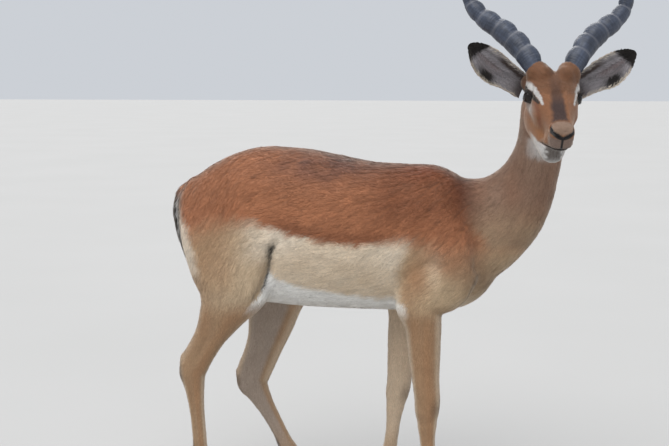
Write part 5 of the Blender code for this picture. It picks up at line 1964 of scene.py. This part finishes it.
def make_lashes(side, shift):
    """Long dark lashes of the upper lid, fanned back over the eye, and a few below."""
    angles = np.concatenate([np.linspace(0.30, 2.9, 90), np.linspace(3.9, 5.4, 12)])
    angles = angles + rng.normal(0, 0.02, len(angles))
    upper = angles < math.pi
    way = lid_edge(angles, 1.02)
    roots = np.array(EYE_AT) + way * (EYE_RADIUS + 0.0018)
    flow = unit(way * 0.75 + LIDWARD * np.where(upper, 0.55, -0.4)[:, None] - SLIT * 0.35)
    normals = unit(np.cross(flow, np.tile(SLIT, (len(angles), 1))))
    length = np.where(upper, *LASH_LONG) * rng.uniform(0.8, 1.2, len(angles))
    for v in (roots, normals, flow):
        v[:, 1] *= side
    to_row = Matrix.Translation(shift) @ HEAD
    across = np.full(len(angles), 0.3 if side > 0 else 0.7)
    cell = chart_cell(NAMES.index("head"), across, np.full(len(angles), 0.45))
    return blades(f"lashes_{WORD[side]}", moved(to_row, roots), turned(to_row, normals),
                  turned(to_row, flow), length, np.full(len(angles), LASH_WIDE), length * 0.35,
                  np.tile(BLACK, (len(angles), 1)), cell, None, 4, 1.0)


def make_hoof(coronet, name, shift):
    """Two pointed claws under a coronet band."""
    pieces = []
    for side in (1, -1):
        rows = [(ahead, side * CLAW_SPREAD, z, front, behind, half)
                for z, ahead, front, behind, half in CLAW]
        pieces.append(loft(rows, name, 40, 6, 2.3, square_to=(0, 0, -1)))
    pieces.append(loft(CORONET, name, 48, 3, 2.1, square_to=(0, 0, -1)))
    obj = fused(pieces, name)
    placed(obj, Matrix.Translation(Vector((coronet[0] - HOOF_BACK, coronet[1], 0.0)) + Vector(shift)))
    points = places_of(obj.data)
    points[:, 2] = np.maximum(points[:, 2], 0.0)
    obj.data.vertices.foreach_set("co", points.astype(np.float32).ravel())
    return obj


# ----------------------------------------------------------------------- staging
CAMERA_AT = (0.507, -2.875, 1.070)
CAMERA_TURN, CAMERA_DIP, CAMERA_LENS = 10.0, 6.85, 64.0
FLOOR_HALF = 60
SKY, SKY_POWER = (0.86, 0.90, 0.96, 1.0), 0.70
LAMPS = (  # name, way the light goes, its spread in degrees, power, colour
    ("over", (0.25, 0.55, -1.0), 60.0, 2.05, (1.0, 0.985, 0.96)),
    ("rim", (0.3, -1.0, -0.75), 45.0, 1.0, (1.0, 0.97, 0.93)),
)


def make_camera(shift):
    """The camera of the main view."""
    data = bpy.data.cameras.new("camera")
    data.lens = CAMERA_LENS
    data.sensor_width = 36.0
    camera = bpy.data.objects.new("camera", data)
    camera.location = Vector(CAMERA_AT) + Vector(shift)
    camera.rotation_euler = (math.radians(90 - CAMERA_DIP), 0.0, math.radians(CAMERA_TURN))
    bpy.context.scene.collection.objects.link(camera)
    bpy.context.scene.camera = camera


def sun_light(name, way, spread, power, colour):
    """A wide, soft lamp."""
    data = bpy.data.lights.new(name, "SUN")
    data.angle = math.radians(spread)
    data.energy = power
    data.color = colour
    light = bpy.data.objects.new(name, data)
    light.rotation_euler = Vector(way).to_track_quat("-Z", "Y").to_euler()
    bpy.context.scene.collection.objects.link(light)


def make_stage():
    """Floor, sky and lamps, which aren't part of the object."""
    corners = [(x * FLOOR_HALF, y * FLOOR_HALF, 0) for x, y in ((-1, -1), (1, -1), (1, 1), (-1, 1))]
    floor = new_object("floor", corners, [(0, 1, 2, 3)])
    floor.data.materials.append(floor_material())
    world = bpy.data.worlds.new("studio")
    world.use_nodes = True
    backdrop = world.node_tree.nodes["Background"]
    backdrop.inputs["Color"].default_value = SKY
    backdrop.inputs["Strength"].default_value = SKY_POWER
    bpy.context.scene.world = world
    for lamp in LAMPS:
        sun_light(*lamp)
    bpy.context.scene.view_settings.view_transform = "Standard"


# --------------------------------------------------------------------- assembly
def give(obj, made, slot, *nodes):
    """Hands a piece over: its material, its body and the CAD nodes that it replaces; slot is not used."""
    obj.data.materials.clear()
    obj.data.materials.append(made)
    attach(obj, "root")
    if nodes:
        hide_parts(*nodes)


def soften_joins(points, tris, edges):
    """Evens the skin where the haunches meet the hind legs, and the neck and forelegs the chest."""
    x, z, s = points[:, 0], points[:, 2], np.abs(points[:, 1])
    haunch = step(0.46, 0.50, z) * step(0.68, 0.61, z) * step(-0.12, -0.17, x) * step(0.022, 0.040, s)
    points = relaxed(points, edges, haunch, 70)
    points = points + normals_of(points, tris) * (0.0032 * haunch)[:, None]
    chest = step(0.26, 0.32, x) * step(0.50, 0.54, z) * step(0.90, 0.82, z)
    return relaxed(points, edges, chest, 24)


def finish_skin(skin, shift):
    """Shapes the skin, sets it in by the coat's depth and hands back the ground for the coat."""
    mesh = skin.data
    points, tris, edges = places_of(mesh), triangles(mesh), edges_of(mesh)
    q = moved(HEAD_BACK, points)
    on_head = step(-0.10, -0.075, q[:, 0]) * step(-0.14, -0.115, q[:, 2])
    points = relaxed(points, edges, on_head, 14)
    points = soften_joins(points, tris, edges)
    points = sculpt_body(points, normals_of(points, tris))
    inset = np.interp(points[:, 2], (0.05, 0.45, 0.60), (0.0008, 0.0012, 0.0022))
    inset = inset * (1 - on_head) + 0.0004 * on_head
    points = points - normals_of(points, tris) * inset[:, None]
    points = sculpt_head(points, normals_of(points, tris))
    ground = Ground(points, tris, shift)
    mesh.vertices.foreach_set("co", (points + shift).astype(np.float32).ravel())
    mesh.update()
    set_colours(mesh, ground.colour * 0.95)
    set_vectors(mesh, "lie", ground.flow**2)
    set_numbers(mesh, "bare", ground.bare)
    mesh.polygons.foreach_set("use_smooth", np.ones(len(mesh.polygons), bool))
    return ground


# The coat's pieces: name, slot, how many tufts, and the stations of a tuft.
COAT = (
    ("trunk_1", "coat_saddle", 62000, 3),
    ("trunk_2", "coat_saddle", 62000, 3),
    ("trunk_3", "coat_saddle", 62000, 3),
    ("neck", "coat_saddle", 56000, 3),
    ("legs", "coat_tan", 62000, 3),
    ("head_1", "coat_tan", 45000, 3),
    ("head_2", "coat_tan", 45000, 3),
    ("tail", "coat_tail", 5200, 5),
)


def grow_coat(ground, materials):
    """The tufts of the whole body, in pieces small enough to hand over."""
    places = ground.places
    z = places.points[:, 2]
    head = step(0.35, 0.65, places.of("head")) * (places.head[:, 0] > -0.095)
    head = head * (places.head[:, 2] > -0.14)
    neck = step(0.3, 0.5, places.of("neck")) * (1 - head)
    tail = step(0.4, 0.6, places.of("tail"))
    legs = step(0.50, 0.46, z) * (1 - tail)
    trunk = np.clip(1 - head - neck - legs - tail, 0, 1)
    clear = 1 - np.clip(ground.bare, 0, 1)
    where = {"trunk": trunk, "neck": neck, "legs": legs, "head": head * clear, "tail": tail}
    for name, slot, count, stations in COAT:
        obj = ground.sow(f"coat_{name}", where[name.split("_")[0]], count, stations)
        give(obj, materials["coat"], slot)


def main():
    """Everything in the order of the random draws: skin, coat, then each side's smaller pieces."""
    low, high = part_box("eye_left")
    eye = HEAD @ Vector(EYE_AT)
    shift = np.array([(low.x + high.x) / 2 - eye.x, (low.y + high.y) / 2 - eye.y, 0.0])
    make_camera(shift)
    make_stage()
    materials = {"coat": coat_material(), "skin": skin_material(), "horn": horn_material(),
                 "hoof": hoof_material(), "eye": eye_material(), "lid": lid_material()}
    skin = make_skin()
    ground = finish_skin(skin, shift)
    flesh = [name for name in frame["nodes"] if not name.startswith(("horn", "ear", "eye", "hoof"))]
    give(skin, materials["skin"], "coat_tan", *flesh)
    grow_coat(ground, materials)
    for side, word in WORD.items():
        give(make_horn(side, shift), materials["horn"], "horn", "horn_" + word)
        give(make_ear(side, shift), materials["skin"], "coat_ear", "ear_" + word)
        for obj in ear_tufts(side, shift):
            give(obj, materials["coat"], "coat_ear")
        give(make_eye(side, shift), materials["eye"], "eye", "eye_" + word)
        give(make_lids(side, shift), materials["lid"], "eye")
        give(make_lashes(side, shift), materials["lid"], "eye")
        for end, joints in (("fore", FORE_JOINTS), ("hind", HIND_JOINTS)):
            name = f"hoof_{end}_{word}"
            give(make_hoof(joints[word][4], name + "_piece", shift), materials["hoof"], "hoof", name)


main()
